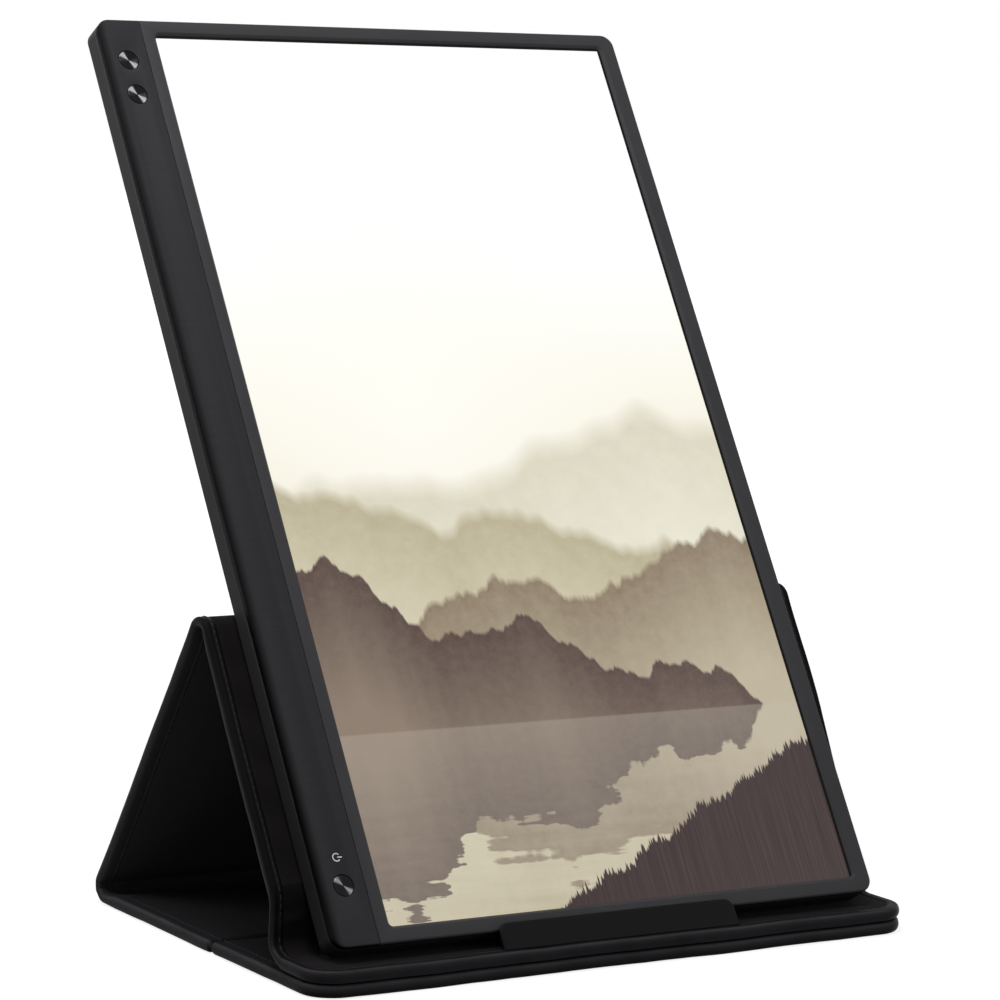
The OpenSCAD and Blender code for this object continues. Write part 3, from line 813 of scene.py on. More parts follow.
def brushed(name, colour):
    """Strip with fine lines across it."""
    n = Nodes(name)
    angle = bpy.context.scene.cover_sizes.angle
    co = n.coords(turn=(-angle, 0, 0))
    lines = n.noise(n.add("ShaderNodeMapping", {"Vector": co, "Scale": (60, 2600, 2600)}).outputs[0], 1, 3)
    cloud = n.noise(co, 20, 3)
    tone = n.blend(n.span(lines, 0.3, 0.7, 0, 1), scaled(colour, 0.94), scaled(colour, 1.06))
    # Painted shade on the chin's left side and its wall.
    tone = painted_wall_shade(n, tone, colour, 10.1 * MM)
    n.surface(Base_Color=tone, Roughness=n.span(cloud, 0.3, 0.7, 0.38, 0.47),
              Specular_IOR_Level=0.03, Normal=n.bump(lines, 0.12, 0.02 * MM))
    return n.material


def leather(name, colour):
    """Fine grained leather: small cells, soft creases, smoother rolled edges with a painted highlight, and
    painted fill light on its own side.
    """
    n = Nodes(name)
    co = n.coords()
    pebbles = n.cells(co, 1500)
    fine = n.noise(co, 4200, 3)
    soft = n.noise(co, 60, 4)
    slow = n.noise(co, 14, 2)
    rim = n.add("ShaderNodeAttribute", attribute_name="rim").outputs["Fac"]
    height = n.calc(n.span(pebbles, 0, 0.35, 0, 1), n.calc(fine, 0.35, "MULTIPLY"))
    tone = n.blend(n.span(slow, 0.3, 0.7, 0, 1), scaled(colour, 0.8), scaled(colour, 1.25))
    tone = n.blend(n.span(pebbles, 0, 0.12, 0.35, 0), tone, scaled(colour, 0.5))
    # Painted highlight: the rolled edge and the bead are made lighter.
    painted_highlight = n.calc(rim, n.span(soft, 0.3, 0.7, 0.6, 1), "MULTIPLY")
    tone = n.blend(painted_highlight, tone, scaled(colour, 7.8))
    # Painted fill light: the leather's own side is made lighter, except where the edge highlight is.
    inner = n.add("ShaderNodeAttribute", attribute_name="inner").outputs["Fac"]
    tone = n.blend(n.calc(inner, n.calc(1, rim, "SUBTRACT"), "MULTIPLY"), tone, scaled(colour, 8.0))
    smoothness = n.span(soft, 0.25, 0.75, 0.38, 0.54)
    n.surface(Base_Color=tone, Roughness=n.calc(smoothness, n.calc(rim, 0.12, "MULTIPLY"), "SUBTRACT"),
              Specular_IOR_Level=0.02,
              Normal=n.bump(height, 0.35, 0.05 * MM, n.bump(soft, 0.35, 0.5 * MM)))
    return n.material


def twill(name, colour):
    """Fine cloth with a diagonal rib, laid on the panel's own UV map."""
    n = Nodes(name)
    uv = n.coords("UV", turn=(0, 0, math.radians(38)))
    ribs = n.add("ShaderNodeTexWave", {"Vector": uv, "Scale": 4.4, "Distortion": 0.8, "Detail": 1,
                                       "Detail Scale": 3}, bands_direction="X").outputs["Fac"]
    flat = n.coords("UV")
    threads = n.noise(flat, 60, 2)
    slow = n.noise(flat, 0.9, 3)
    tone = n.blend(ribs, scaled(colour, 1.02), scaled(colour, 1.28))
    tone = n.blend(n.span(slow, 0.3, 0.7, 0, 0.03), tone, scaled(colour, 1.7))
    height = n.calc(ribs, n.calc(threads, 0.5, "MULTIPLY"))
    n.surface(Base_Color=tone, Roughness=0.8, Specular_IOR_Level=0.02, Sheen_Weight=0.02,
              Sheen_Roughness=0.4, Normal=n.bump(height, 0.25, 0.08 * MM))
    return n.material


def thread_finish(name, colour):
    n = Nodes(name)
    co = n.coords()
    twist = n.noise(co, 3000, 2)
    n.surface(Base_Color=n.blend(twist, scaled(colour, 0.7), scaled(colour, 1.4)), Roughness=0.5,
              Specular_IOR_Level=0.08, Normal=n.bump(twist, 0.4, 0.05 * MM))
    return n.material


def metal(name, colour, rough=0.3):
    n = Nodes(name)
    co = n.coords()
    fine = n.noise(co, 2500, 3)
    cloud = n.noise(co, 120, 3)
    n.surface(Base_Color=n.blend(n.span(cloud, 0.3, 0.7, 0, 1), scaled(colour, 0.88), colour), Metallic=1.0,
              Roughness=n.span(fine, 0.3, 0.7, rough - 0.06, rough + 0.08),
              Normal=n.bump(fine, 0.15, 0.02 * MM))
    return n.material


def spun(name, colour, shine):
    """Spun dark metal with a painted highlight: the two light wedges that such a face shows. Its UV map's
    first axis runs outwards from the middle and its second once round."""
    n = Nodes(name)
    rings = n.noise(n.coords("UV", (60, 0.4, 1)), 1, 2)
    turns = n.add("ShaderNodeSeparateXYZ", {"Vector": n.coords("UV")}).outputs[1]
    uneven = n.noise(n.coords("UV", (0.5, 14, 1)), 1, 2)
    # Painted highlight: two wedges blended towards light grey.
    angle = n.calc(n.calc(turns, 4 * math.pi, "MULTIPLY"), WEDGE_TURN)
    painted_wedges = n.span(n.add("ShaderNodeMath", {0: angle}, operation="COSINE").outputs[0], 0.62, 1, 0, 1)
    painted_wedges = n.calc(painted_wedges, n.span(uneven, 0.3, 0.7, 0.55, 1), "MULTIPLY")
    tangent = n.add("ShaderNodeTangent", direction_type="UV_MAP", uv_map="UVMap").outputs[0]
    tone = n.blend(rings, scaled(colour, 0.8), scaled(colour, 1.2))
    n.surface(Base_Color=n.blend(n.calc(painted_wedges, shine, "MULTIPLY"), tone, (0.62, 0.62, 0.63)), Metallic=1.0,
              Roughness=0.32, Anisotropic=0.95, Tangent=tangent)
    return n.material


def circuit(name, colour):
    n = Nodes(name)
    co = n.coords()
    tracks = n.cells(co, 260, "F1")
    mask = n.noise(co, 90, 2)
    n.surface(Base_Color=n.blend(n.span(tracks, 0.3, 0.34, 0, 0.5), colour, scaled(colour, 2.2)),
              Roughness=n.span(mask, 0.3, 0.7, 0.3, 0.45), Normal=n.bump(tracks, 0.2, 0.05 * MM))
    return n.material


def fibre(name, colour):
    n = Nodes(name)
    co = n.coords()
    flecks = n.noise(co, 700, 5, 0.7)
    n.surface(Base_Color=n.blend(flecks, scaled(colour, 0.6), scaled(colour, 1.3)), Roughness=0.9,
              Specular_IOR_Level=0.15, Normal=n.bump(flecks, 0.5, 0.1 * MM))
    return n.material


def screen_picture(name):
    """A generic lit picture on the piece's own UV map: misty hills under a pale sky, mirrored in water."""
    n = Nodes(name)
    source = n.add("ShaderNodeTexCoord").outputs["UV"]
    parts = n.add("ShaderNodeSeparateXYZ", {"Vector": source})
    u, v = parts.outputs[0], parts.outputs[1]
    shore = 0.2
    water = n.span(v, shore - 0.001, shore + 0.001, 1, 0)
    ripple = n.noise(n.add("ShaderNodeMapping", {"Vector": source, "Scale": (3, 70, 1)}).outputs[0], 1, 4)
    depth = n.span(v, 0, shore, 1, 0)
    shake = n.calc(n.calc(ripple, 0.5, "SUBTRACT"), n.calc(depth, 0.16, "MULTIPLY"), "MULTIPLY")
    shake = n.calc(shake, water, "MULTIPLY")
    level = n.calc(n.calc(n.calc(n.calc(v, shore, "SUBTRACT"), 0, "ABSOLUTE"), shore), shake)
    sky = n.add("ShaderNodeValToRGB", {"Fac": level})
    stops = [(0.2, (0.72, 0.66, 0.50)), (0.42, (0.86, 0.81, 0.66)), (0.58, (0.95, 0.93, 0.83)),
             (0.72, (1.0, 1.0, 0.98)), (0.8, (1.0, 1.0, 1.0))]
    band = sky.color_ramp.elements
    while len(band) < len(stops):
        band.new(0.5)
    for item, (place, colour) in zip(band, stops):
        item.position, item.color = place, (*colour, 1)
    picture = sky.outputs["Color"]
    spot = n.add("ShaderNodeCombineXYZ", {"X": n.calc(n.calc(u, 0.33, "SUBTRACT"), 0.56, "MULTIPLY"),
                                          "Y": n.calc(level, 0.56, "SUBTRACT")})
    away = n.add("ShaderNodeVectorMath", {0: spot.outputs[0]}, operation="LENGTH").outputs["Value"]
    glow = n.span(away, 0.02, 0.3, 1, 0)
    picture = n.blend(n.calc(glow, 0.8, "MULTIPLY"), picture, (1.0, 0.99, 0.92))
    hills = [(0.49, 0.05, 0.16, 1.7, 2.0, 3, 0.016, (0.68, 0.64, 0.50), (0.80, 0.77, 0.64)),
             (0.43, -0.09, 0.20, 2.1, 5.0, 4, 0.008, (0.46, 0.41, 0.27), (0.68, 0.63, 0.47)),
             (0.37, 0.10, 0.20, 2.7, 11.0, 6, 0.004, (0.24, 0.18, 0.12), (0.50, 0.44, 0.32)),
             (0.28, -0.16, 0.14, 3.6, 17.0, 9, 0.002, (0.085, 0.052, 0.045), (0.26, 0.20, 0.155))]
    for height, tilt, swing, scale, seed, detail, soft, crest, foot in hills:
        line = n.add("ShaderNodeCombineXYZ", {"X": u, "Y": seed})
        outline = n.noise(line.outputs[0], scale, detail, 0.52)
        slope = n.calc(n.calc(u, 0.5, "SUBTRACT"), tilt, "MULTIPLY")
        top = n.calc(n.calc(n.calc(n.calc(outline, 0.5, "SUBTRACT"), 2 * swing, "MULTIPLY"), height), slope)
        below = n.calc(top, level, "SUBTRACT")
        woods = n.noise(n.coords("UV", (1, 1.78, 1)), 14 * scale, 8, 0.7)
        body = n.blend(n.span(below, 0, 0.16, 0, 1), crest, foot)
        body = n.blend(n.span(woods, 0.35, 0.75, 0, 0.22), body, scaled(foot, 1.2))
        picture = n.blend(n.span(below, -soft, soft, 0, 1), picture, body)
    sheen = n.blend(n.calc(water, 0.22, "MULTIPLY"), picture, (0.55, 0.50, 0.42))
    bank = n.noise(n.add("ShaderNodeCombineXYZ", {"X": u, "Y": 23.0}).outputs[0], 5, 9, 0.6)
    near = n.calc(n.calc(n.calc(u, 0.24, "MULTIPLY"), 0.14, "SUBTRACT"), n.calc(bank, 0.08, "MULTIPLY"))
    grass = n.noise(n.add("ShaderNodeMapping", {"Vector": source, "Scale": (220, 9, 1)}).outputs[0], 1, 3)
    edge = n.calc(near, n.calc(grass, 0.035, "MULTIPLY"))
    inside = n.span(n.calc(edge, v, "SUBTRACT"), -0.0015, 0.0015, 0, 1)
    picture = n.blend(inside, sheen, n.blend(grass, (0.012, 0.007, 0.008), (0.085, 0.05, 0.05)))
    n.surface(Base_Color=(0.01, 0.01, 0.01, 1), Roughness=0.35, Specular_IOR_Level=0.1,
              Emission_Color=picture, Emission_Strength=1.0)
    return n.material


def made(name):
    return bpy.data.materials.get(name)


class STAGE_OT_build(bpy.types.Operator):
    """Makes the floor, the soft lights and the camera"""
    bl_idname = "monitor.stage"
    bl_label = "Stage"

    def execute(self, context):
        scene = context.scene
        scene.view_settings.view_transform = "Standard"
        begin()
        bpy.ops.mesh.primitive_plane_add(size=9, location=(0, 0, -0.2 * MM))
        floor = context.object
        floor.name = "floor"
        n = Nodes("floor_paper")
        path = n.add("ShaderNodeLightPath")
        seen = n.calc(n.calc(path.outputs["Is Camera Ray"], path.outputs["Is Glossy Ray"]),
                     path.outputs["Is Transmission Ray"])
        speck = n.noise(n.coords(), 900, 2)
        away = n.add("ShaderNodeVectorMath", {0: n.coords()}, operation="LENGTH").outputs["Value"]
        glow = n.span(away, 0.3, 1.0, 0.84, 1.0)
        n.surface(Base_Color=n.blend(speck, (0.24, 0.24, 0.24), (0.26, 0.26, 0.26)), Roughness=0.9,
                  Specular_IOR_Level=0.1, Emission_Color=(1, 1, 1, 1),
                  Emission_Strength=n.calc(n.calc(seen, 1, "MINIMUM"), glow, "MULTIPLY"))
        floor.data.materials.append(n.material)

        world = bpy.data.worlds.new("studio")
        scene.world = world
        world.use_nodes = True
        tree = world.node_tree
        tree.nodes.clear()
        out = tree.nodes.new("ShaderNodeOutputWorld")
        mix = tree.nodes.new("ShaderNodeMixShader")
        dim, white = (tree.nodes.new("ShaderNodeBackground") for _ in range(2))
        dim.inputs["Color"].default_value = (0.95, 0.97, 1, 1)
        dim.inputs["Strength"].default_value = 0.27
        white.inputs["Strength"].default_value = 1.0
        white.inputs["Color"].default_value = (1, 1, 1, 1)
        path = tree.nodes.new("ShaderNodeLightPath")
        seen = path.outputs["Is Camera Ray"]
        for ray in ("Is Glossy Ray", "Is Transmission Ray"):
            either = tree.nodes.new("ShaderNodeMath")
            either.operation = "MAXIMUM"
            tree.links.new(seen, either.inputs[0])
            tree.links.new(path.outputs[ray], either.inputs[1])
            seen = either.outputs[0]
        for i, source in enumerate((seen, dim.outputs[0], white.outputs[0])):
            tree.links.new(source, mix.inputs[i])
        tree.links.new(mix.outputs[0], out.inputs[0])

        lamps = [("top_lamp", (-0.2, -0.2, 0.92), 0.3, 4.2), ("left_lamp", (-0.48, 0.12, 0.58), 0.3, 1.45),
                 ("right_lamp", (1.4, -1.3, 0.5), 1.2, 7)]
        for name, place, size, power in lamps:
            data = bpy.data.lights.new(name, "AREA")
            data.size, data.energy = size, power
            lamp = bpy.data.objects.new(name, data)
            scene.collection.objects.link(lamp)
            lamp.location = place
            lamp.rotation_euler = (Vector((0, 0, 0.12)) - Vector(place)).to_track_quat("-Z", "Y").to_euler()

        data = bpy.data.cameras.new("camera")
        data.lens, data.sensor_width = 144.75, 36
        data.clip_start, data.clip_end = 0.05, 30
        camera = bpy.data.objects.new("camera", data)
        scene.collection.objects.link(camera)
        forward = Vector((0.53808, 0.83366, -0.12441)).normalized()
        right = Vector((0.84216, -0.53789, 0.03797))
        right = (right - forward * right.dot(forward)).normalized()
        up = right.cross(forward)
        place = Matrix((right, up, -forward)).transposed().to_4x4()
        place.translation = Vector((-777.69, -1216.60, 330.12)) * MM
        camera.matrix_world = place
        scene.camera = camera
        return {"FINISHED"}


class MATERIALS_OT_build(bpy.types.Operator):
    """Makes the finishes and gives the rigid CAD nodes theirs"""
    bl_idname = "monitor.materials"
    bl_label = "Finishes"

    def execute(self, context):
        colours = context.scene.finish_colours
        case = moulded("case_finish", tuple(colours.case), 0.42, 0.03, wall=9.35 * MM)
        shell = moulded("shell_finish", tuple(colours.shell), 0.42, 0.025, 6000,
                        edges=(0, context.scene.monitor_sizes.parting - 0.5 * MM))
        chin = brushed("chin_finish", tuple(colours.chin))
        leather("leather_finish", tuple(colours.leather))
        twill("lining_finish", tuple(colours.lining))
        thread_finish("thread_finish", scaled(colours.leather, 2.4))
        moulded("lip_finish", tuple(colours.lip), 0.6, 0.07, 3000, 0.04 * MM)
        moulded("gasket_finish", (0.004, 0.004, 0.004), 0.6, 0.1)
        spun("button_finish", tuple(colours.steel), 1.0)
        spun("power_button_finish", tuple(colours.steel), 0.3)
        moulded("print_finish", (0.62, 0.62, 0.62), 0.5, 0.3)
        bright = metal("port_metal", (0.66, 0.66, 0.68))
        tray = metal("tray_metal", (0.62, 0.64, 0.66), 0.4)
        given = {
            "rear_shell": shell, "front_frame": case, "chin_cover": chin,
            "light_guide": moulded("guide_plastic", (0.8, 0.82, 0.84), 0.25, 0.5),
            "lcd_tray": tray, "led_bar": circuit("led_strip", (0.75, 0.75, 0.62)),
            "driver_board": circuit("driver_circuit", (0.012, 0.095, 0.04)),
            "main_board": circuit("main_circuit", (0.012, 0.095, 0.04)),
            "board_screws": bright, "flex_cable": moulded("flex_film", (0.45, 0.18, 0.03), 0.3, 0.5),
            "port_shell": bright, "port_tongue": moulded("tongue_plastic", (0.011, 0.011, 0.011)),
            "key_switches": metal("switch_brass", (0.55, 0.42, 0.16)),
            "base_rear_board": fibre("stiffener_fibre", (0.105, 0.08, 0.062)),
            "base_magnets": metal("magnet_nickel", (0.5, 0.5, 0.52), 0.35),
        }
        for other in ("base_front_board", "rear_panel_board", "support_board", "ledge_board"):
            given[other] = given["base_rear_board"]
        given["ledge_magnets"] = given["base_magnets"]
        for node, material in given.items():
            mesh = NODES[node].data
            mesh.materials.clear()
            mesh.materials.append(material)
        return {"FINISHED"}


def cut_with(piece, tool):
    """Cuts the tool's shape out of the piece and removes the tool."""
    only(piece)
    modifier = piece.modifiers.new("cut", "BOOLEAN")
    modifier.operation, modifier.object, modifier.solver = "DIFFERENCE", tool, "EXACT"
    bpy.ops.object.modifier_apply(modifier=modifier.name)
    bpy.data.objects.remove(tool)


def front_plate(name):
    """The whole front before it is parted: rounded front edge, open towards the inside."""
    size = bpy.context.scene.monitor_sizes
    r, chamfer = 0.8 * MM, 0.15 * MM
    rim = size.parting + chamfer
    piece = rounded_plane(name, size.case_width, 0, size.case_height, CASE_CORNER, rim, FEW_POINTS)
    upper = [(HAIR, size.face - r - rim)] + quarter_turn(r)
    build_profile(piece, upper, [(chamfer, chamfer), (1.25 * MM, 0), (HAIR, -1.2 * MM)])
    return piece


class FRONT_OT_build(bpy.types.Operator):
    """Builds the bezel with its bevelled opening, and the chin strip beside it"""
    bl_idname = "monitor.front"
    bl_label = "Bezel and chin"

    def execute(self, context):
        size = context.scene.monitor_sizes
        cx, cy = size.lit_centre
        bevel = 1.1 * MM
        half_gap = 0.15 * MM
        w, h = size.lit_width + 2 * size.border, size.lit_height + 2 * size.border
        lap = 0.3 * MM

        frame_piece = front_plate("bezel_frame")
        only(frame_piece)
        edit()
        bpy.ops.mesh.bisect(plane_co=(size.seam + half_gap, 0, 0), plane_no=(-1, 0, 0), use_fill=True,
                            clear_outer=True)
        leave()
        big_w, big_h = w + 2 * (bevel + lap), h + 2 * (bevel + lap)
        tight_x, tight_y = 0.35 * MM, 0.6 * MM
        tool = rounded_plane("opening_tool", big_w - tight_x, cy - big_h / 2 + tight_y, cy + big_h / 2,
                             2 * MM + bevel, size.face + lap, FEW_POINTS)
        tool.data.transform(Matrix.Translation((cx + tight_x / 2, 0, 0)))
        build_profile(tool, [(0.1 * MM, 0.1 * MM)], [(bevel + lap, bevel + lap), (HAIR, 4 * MM)])
        cut_with(frame_piece, tool)

        chin_piece = front_plate("chin_strip")
        only(chin_piece)
        edit()
        bpy.ops.mesh.bisect(plane_co=(size.seam - half_gap, 0, 0), plane_no=(1, 0, 0), use_fill=True,
                            clear_outer=True)
        leave()
        for node in ("power_button", "menu_button_upper", "menu_button_lower"):
            y = (monitor_place().inverted() @ ((low(node) + high(node)) / 2)).y
            begin()
            bpy.ops.mesh.primitive_cylinder_add(vertices=72, radius=size.button / 2 + 0.22 * MM, depth=6 * MM,
                                                location=(size.buttons_x, y, size.face - 1 * MM))
            tool = context.object
            settle(tool)
            cut_with(chin_piece, tool)
        for piece, node, slot, finish in ((frame_piece, "front_frame", "case", "case_finish"),
                                          (chin_piece, "chin_cover", "chin", "chin_finish")):
            only(piece)
            bevelling = piece.modifiers.new("soft edges", "BEVEL")
            bevelling.width, bevelling.segments, bevelling.limit_method = 0.09 * MM, 2, "ANGLE"
            bevelling.angle_limit = math.radians(35)
            bpy.ops.object.modifier_apply(modifier=bevelling.name)
            piece.data.transform(monitor_place())
            smooth(piece, 30)
            dress(piece, made(finish))
            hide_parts(node)
            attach(piece, "monitor")
        return {"FINISHED"}


class SCREEN_OT_build(bpy.types.Operator):
    """Builds the lit screen and the black gasket round it"""
    bl_idname = "monitor.screen"
    bl_label = "Screen"

    def execute(self, context):
        size = context.scene.monitor_sizes
        cx, cy = size.lit_centre
        w, h, b = size.lit_width, size.lit_height, size.border
        back = size.glass - 1.4 * MM
        begin()
        bpy.ops.mesh.primitive_cube_add(size=1, location=(cx, cy, back + 0.7 * MM))
        glass = context.object
        glass.name = glass.data.name = "screen_panel"
        edit()
        bpy.ops.transform.resize(value=(w + 4.8 * MM, h + 4.8 * MM, 1.4 * MM))
        bpy.ops.mesh.bevel(offset=0.12 * MM, segments=2)
        leave()
        settle(glass)
        layer = glass.data.uv_layers.active or glass.data.uv_layers.new(name="UVMap")
        layer.name = "UVMap"
        for loop in glass.data.loops:
            co = glass.data.vertices[loop.vertex_index].co
            layer.data[loop.index].uv = ((co.x - cx) / w + 0.5, (co.y - cy) / h + 0.5)
        glass.data.transform(monitor_place())
        smooth(glass)
        dress(glass, screen_picture("screen_light"))
        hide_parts("lcd_panel")
        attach(glass, "monitor")

        begin()
        bpy.ops.mesh.primitive_plane_add(size=1, location=(cx, cy, size.glass + 0.02 * MM))
        gasket = context.object
        gasket.name = gasket.data.name = "screen_gasket"
        edit()
        bpy.ops.transform.resize(value=(w + 4.4 * MM, h + 4.4 * MM, 1))
        bpy.ops.mesh.inset(thickness=2.2 * MM)
        bpy.ops.transform.resize(value=((w + b) / w, (h + b) / h, 1))
        bpy.ops.transform.translate(value=(-b / 2, -b / 2, 0))
        bpy.ops.mesh.delete(type="FACE")
        bpy.ops.mesh.select_all(action="SELECT")
        bpy.ops.mesh.extrude_region_move(TRANSFORM_OT_translate={"value": (0, 0, 0.12 * MM)})
        bpy.ops.mesh.select_all(action="SELECT")
        bpy.ops.mesh.normals_make_consistent(inside=False)
        leave()
        settle(gasket, monitor_place())
        dress(gasket, made("gasket_finish"))
        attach(gasket, "monitor")
        return {"FINISHED"}


class BUTTONS_OT_build(bpy.types.Operator):
    """Spins one button and copies it to the three places on the chin"""
    bl_idname = "monitor.buttons"
    bl_label = "Buttons"

    def execute(self, context):
        size = context.scene.monitor_sizes
        r, top = size.button / 2, size.face - 0.05 * MM
        section = [(0, top - size.dish)]
        for i in range(1, 9):
            section.append(((r - 0.45 * MM) * i / 8, top - size.dish * (1 - i / 8)))
        section += [(r - 0.3 * MM, top), (r - 0.12 * MM, top - 0.05 * MM), (r, top - 0.2 * MM),
                    (r, top - 1.45 * MM), (r + 0.9 * MM, top - 1.5 * MM), (r + 0.9 * MM, top - 2.0 * MM),
                    (1.5 * MM, top - 2.05 * MM), (1.5 * MM, 5.35 * MM), (0, 5.3 * MM)]
        model = mesh_piece("button_model", [(x, 0, z) for x, z in section], [])
        model.data.edges.add(len(section) - 1)
        for i, e in enumerate(model.data.edges):
            e.vertices = (i, i + 1)
        model.data.update()
        only(model)
        edit()
        bpy.ops.mesh.spin(steps=64, angle=2 * math.pi, center=(0, 0, 0), axis=(0, 0, 1), use_auto_merge=True)
        bpy.ops.mesh.select_all(action="SELECT")
        bpy.ops.mesh.remove_doubles(threshold=MERGE)
        bpy.ops.mesh.normals_make_consistent(inside=False)
        leave()
        layer = model.data.uv_layers.new(name="UVMap")
        for poly in model.data.polygons:
            middle = math.atan2(poly.center.y, poly.center.x)
            for i in poly.loop_indices:
                co = model.data.vertices[model.data.loops[i].vertex_index].co
                d = math.hypot(co.x, co.y)
                a = math.atan2(co.y, co.x) if d > 1e-6 else middle
                while a - middle > math.pi:
                    a -= 2 * math.pi
                while a - middle < -math.pi:
                    a += 2 * math.pi
                layer.data[i].uv = (d / r, a / (2 * math.pi))
        for node in ("power_button", "menu_button_upper", "menu_button_lower"):
            middle = (low(node) + high(node)) / 2
            y = (monitor_place().inverted() @ middle).y
            piece = model.copy()
            piece.data = model.data.copy()
            piece.name = piece.data.name = node + "_cap"
            context.scene.collection.objects.link(piece)
            piece.data.transform(monitor_place() @ Matrix.Translation((size.buttons_x, y, 0)))
            dress(piece, made(("power_" if node == "power_button" else "") + "button_finish"))
            smooth(piece, 25)
            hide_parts(node)
            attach(piece, node)
        bpy.data.objects.remove(model)
        return {"FINISHED"}


class SYMBOL_OT_build(bpy.types.Operator):
    """Prints the usual power symbol above the power button"""
    bl_idname = "monitor.symbol"
    bl_label = "Power symbol"

    def execute(self, context):
        size = context.scene.monitor_sizes
        radius, stroke = 1.35 * MM, 0.42 * MM
        z = size.face + 0.005 * MM
        verts, faces = [], []
        steps_round, gap = 26, math.radians(42)
        for i in range(steps_round + 1):
            a = gap + (2 * math.pi - 2 * gap) * i / steps_round
            for d in (radius - stroke / 2, radius + stroke / 2):
                for h in (0, 0.03 * MM):
                    verts.append((d * math.cos(a), d * math.sin(a), h))
            if i:
                p, q = (i - 1) * 4, i * 4
                faces += [(p + 1, p + 3, q + 3, q + 1), (p, q, q + 2, p + 2), (p, p + 1, q + 1, q),
                          (p + 2, q + 2, q + 3, p + 3)]
        faces += [(0, 2, 3, 1), tuple(steps_round * 4 + k for k in (0, 1, 3, 2))]
        start = len(verts)
        for x in (0.25 * MM, radius + 0.75 * MM):
            for y in (-stroke / 2, stroke / 2):
                for h in (0, 0.03 * MM):
                    verts.append((x, y, h))
        box = [(0, 1, 3, 2), (4, 6, 7, 5), (0, 4, 5, 1), (2, 3, 7, 6), (1, 5, 7, 3), (0, 2, 6, 4)]
        faces += [tuple(start + k for k in f) for f in box]
        piece = mesh_piece("power_symbol", verts, faces)
        only(piece)
        edit()
        bpy.ops.mesh.normals_make_consistent(inside=False)
        leave()
        piece.data.transform(monitor_place() @ Matrix.Translation((size.buttons_x, size.symbol_y, z)))
        dress(piece, made("print_finish"))
        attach(piece, "monitor")
        return {"FINISHED"}


def finish_layer(skin, lining, thread, body, skin_nodes, lining_nodes, blend=None):
    """Dresses a layer's leather, lining and stitching and ties them to their body; with a blend, it only puts
    their place into their meshes.
    """
    dress(skin, made("leather_finish"))
    dress(thread, made("thread_finish"))
    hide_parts(*skin_nodes)
    parts = [skin, thread]
    if lining is not None:
        dress(lining, made("lining_finish"))
        if lining_nodes:
            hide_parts(*lining_nodes)
        parts.append(lining)
    for piece in parts:
        if blend:
            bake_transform(piece)
        else:
            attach(piece, body)


def flat_layer(name, body, which, start, length, free_end, skin_nodes, lining_nodes):
    cover = bpy.context.scene.cover_sizes
    t = cover.layer
    skin = leather_panel(name + "_leather", which, start, length, free_end)
    lining = lining_panel(name + "_lining_cloth", which, start, length, free_end)
    lines = panel_lines(start, length, free_end, LINING_SEAM, t - LINING_SINK, 1)
    lines += panel_lines(start, length, free_end, LEATHER_SEAM, LEATHER_SINK, -1)
    thread = sew(name + "_stitches", lines, panel_place(which))
    finish_layer(skin, lining, thread, body, skin_nodes, lining_nodes)


def fold_layer(name, way, thin, skin_nodes, blend, shape=None, crest=0, shades=(1, 1)):
    cover = bpy.context.scene.cover_sizes
    t = cover.layer
    skin = strip(name + "_leather", way, ring_profile(), t, thin, shape, crest, shades)
    section = [(x * MM, z * MM) for x, z in LINING_SECTION]
    lining = strip(name + "_lining_cloth", way, section, t, [1] * len(way), shape)
    lines = fold_lines(way, thin, LINING_SEAM, t, t - LINING_SINK, 1)
    lines += fold_lines(way, thin, LEATHER_SEAM, t, LEATHER_SINK, -1)
    thread = sew(name + "_stitches", lines)
    finish_layer(skin, lining, thread, None, skin_nodes, [], blend)


class BASE_OT_build(bpy.types.Operator):
    """Builds the cover's part that lies on the table, with its middle crease"""
    bl_idname = "monitor.base"
    bl_label = "Cover base"

    def execute(self, context):
        cover = context.scene.cover_sizes
        rear = fold_points()[0]
        crease0 = rear.x - high("base_crease").y
        crease1 = rear.x - low("base_crease").y
        end = rear.x - low("base_front_skin").y
        flat_layer("base_rear", "base", "base", cover.lift_off, crease0 - cover.lift_off, None,
                   ["base_rear_skin"], ["base_rear_lining"])
        flat_layer("base_front", "base", "base", crease1, end - crease1, "end",
                   ["base_front_skin"], ["base_front_lining"])
        shares = [i / 16 for i in range(17)]
        way = [(Vector((rear.x - crease0 - (crease1 - crease0) * s, 0)), Vector((0, -1))) for s in shares]
        thin = [1 - 0.6 * math.exp(-((s - 0.5) / 0.2) ** 2) for s in shares]
        thin[0] = thin[-1] = 1
        t = cover.layer

        def dent(s, x):
            pull = math.exp(-((s - 0.5) / 0.2) ** 2)
            return -math.copysign(1.3 * MM, x) * pull if abs(x) > 100 * MM else 0, -0.6 * MM * pull

        skin = strip("base_crease_leather", way, ring_profile(), t, thin, dent, 0, (BASE_PAINTED_FILL, BASE_PAINTED_FILL))
        lines = fold_lines(way, thin, LEATHER_SEAM, t, LEATHER_SINK, -1)
        thread = sew("base_crease_stitches", lines)
        finish_layer(skin, None, thread, "base", ["base_crease"], [])
        return {"FINISHED"}


class PANELS_OT_build(bpy.types.Operator):
    """Builds the rear and the support panel that make the stand"""
    bl_idname = "monitor.panels"
    bl_label = "Stand panels"

    def execute(self, context):
        cover = context.scene.cover_sizes
        flat_layer("rear_panel", "rear_panel", "rear_panel", cover.reach, cover.panel - 2 * cover.reach, None,
                   ["rear_panel_skin"], ["rear_panel_lining"])
        flat_layer("support", "support", "support", cover.foot, cover.panel - cover.foot - cover.reach, None,
                   ["support_skin"], ["support_lining"])
        return {"FINISHED"}


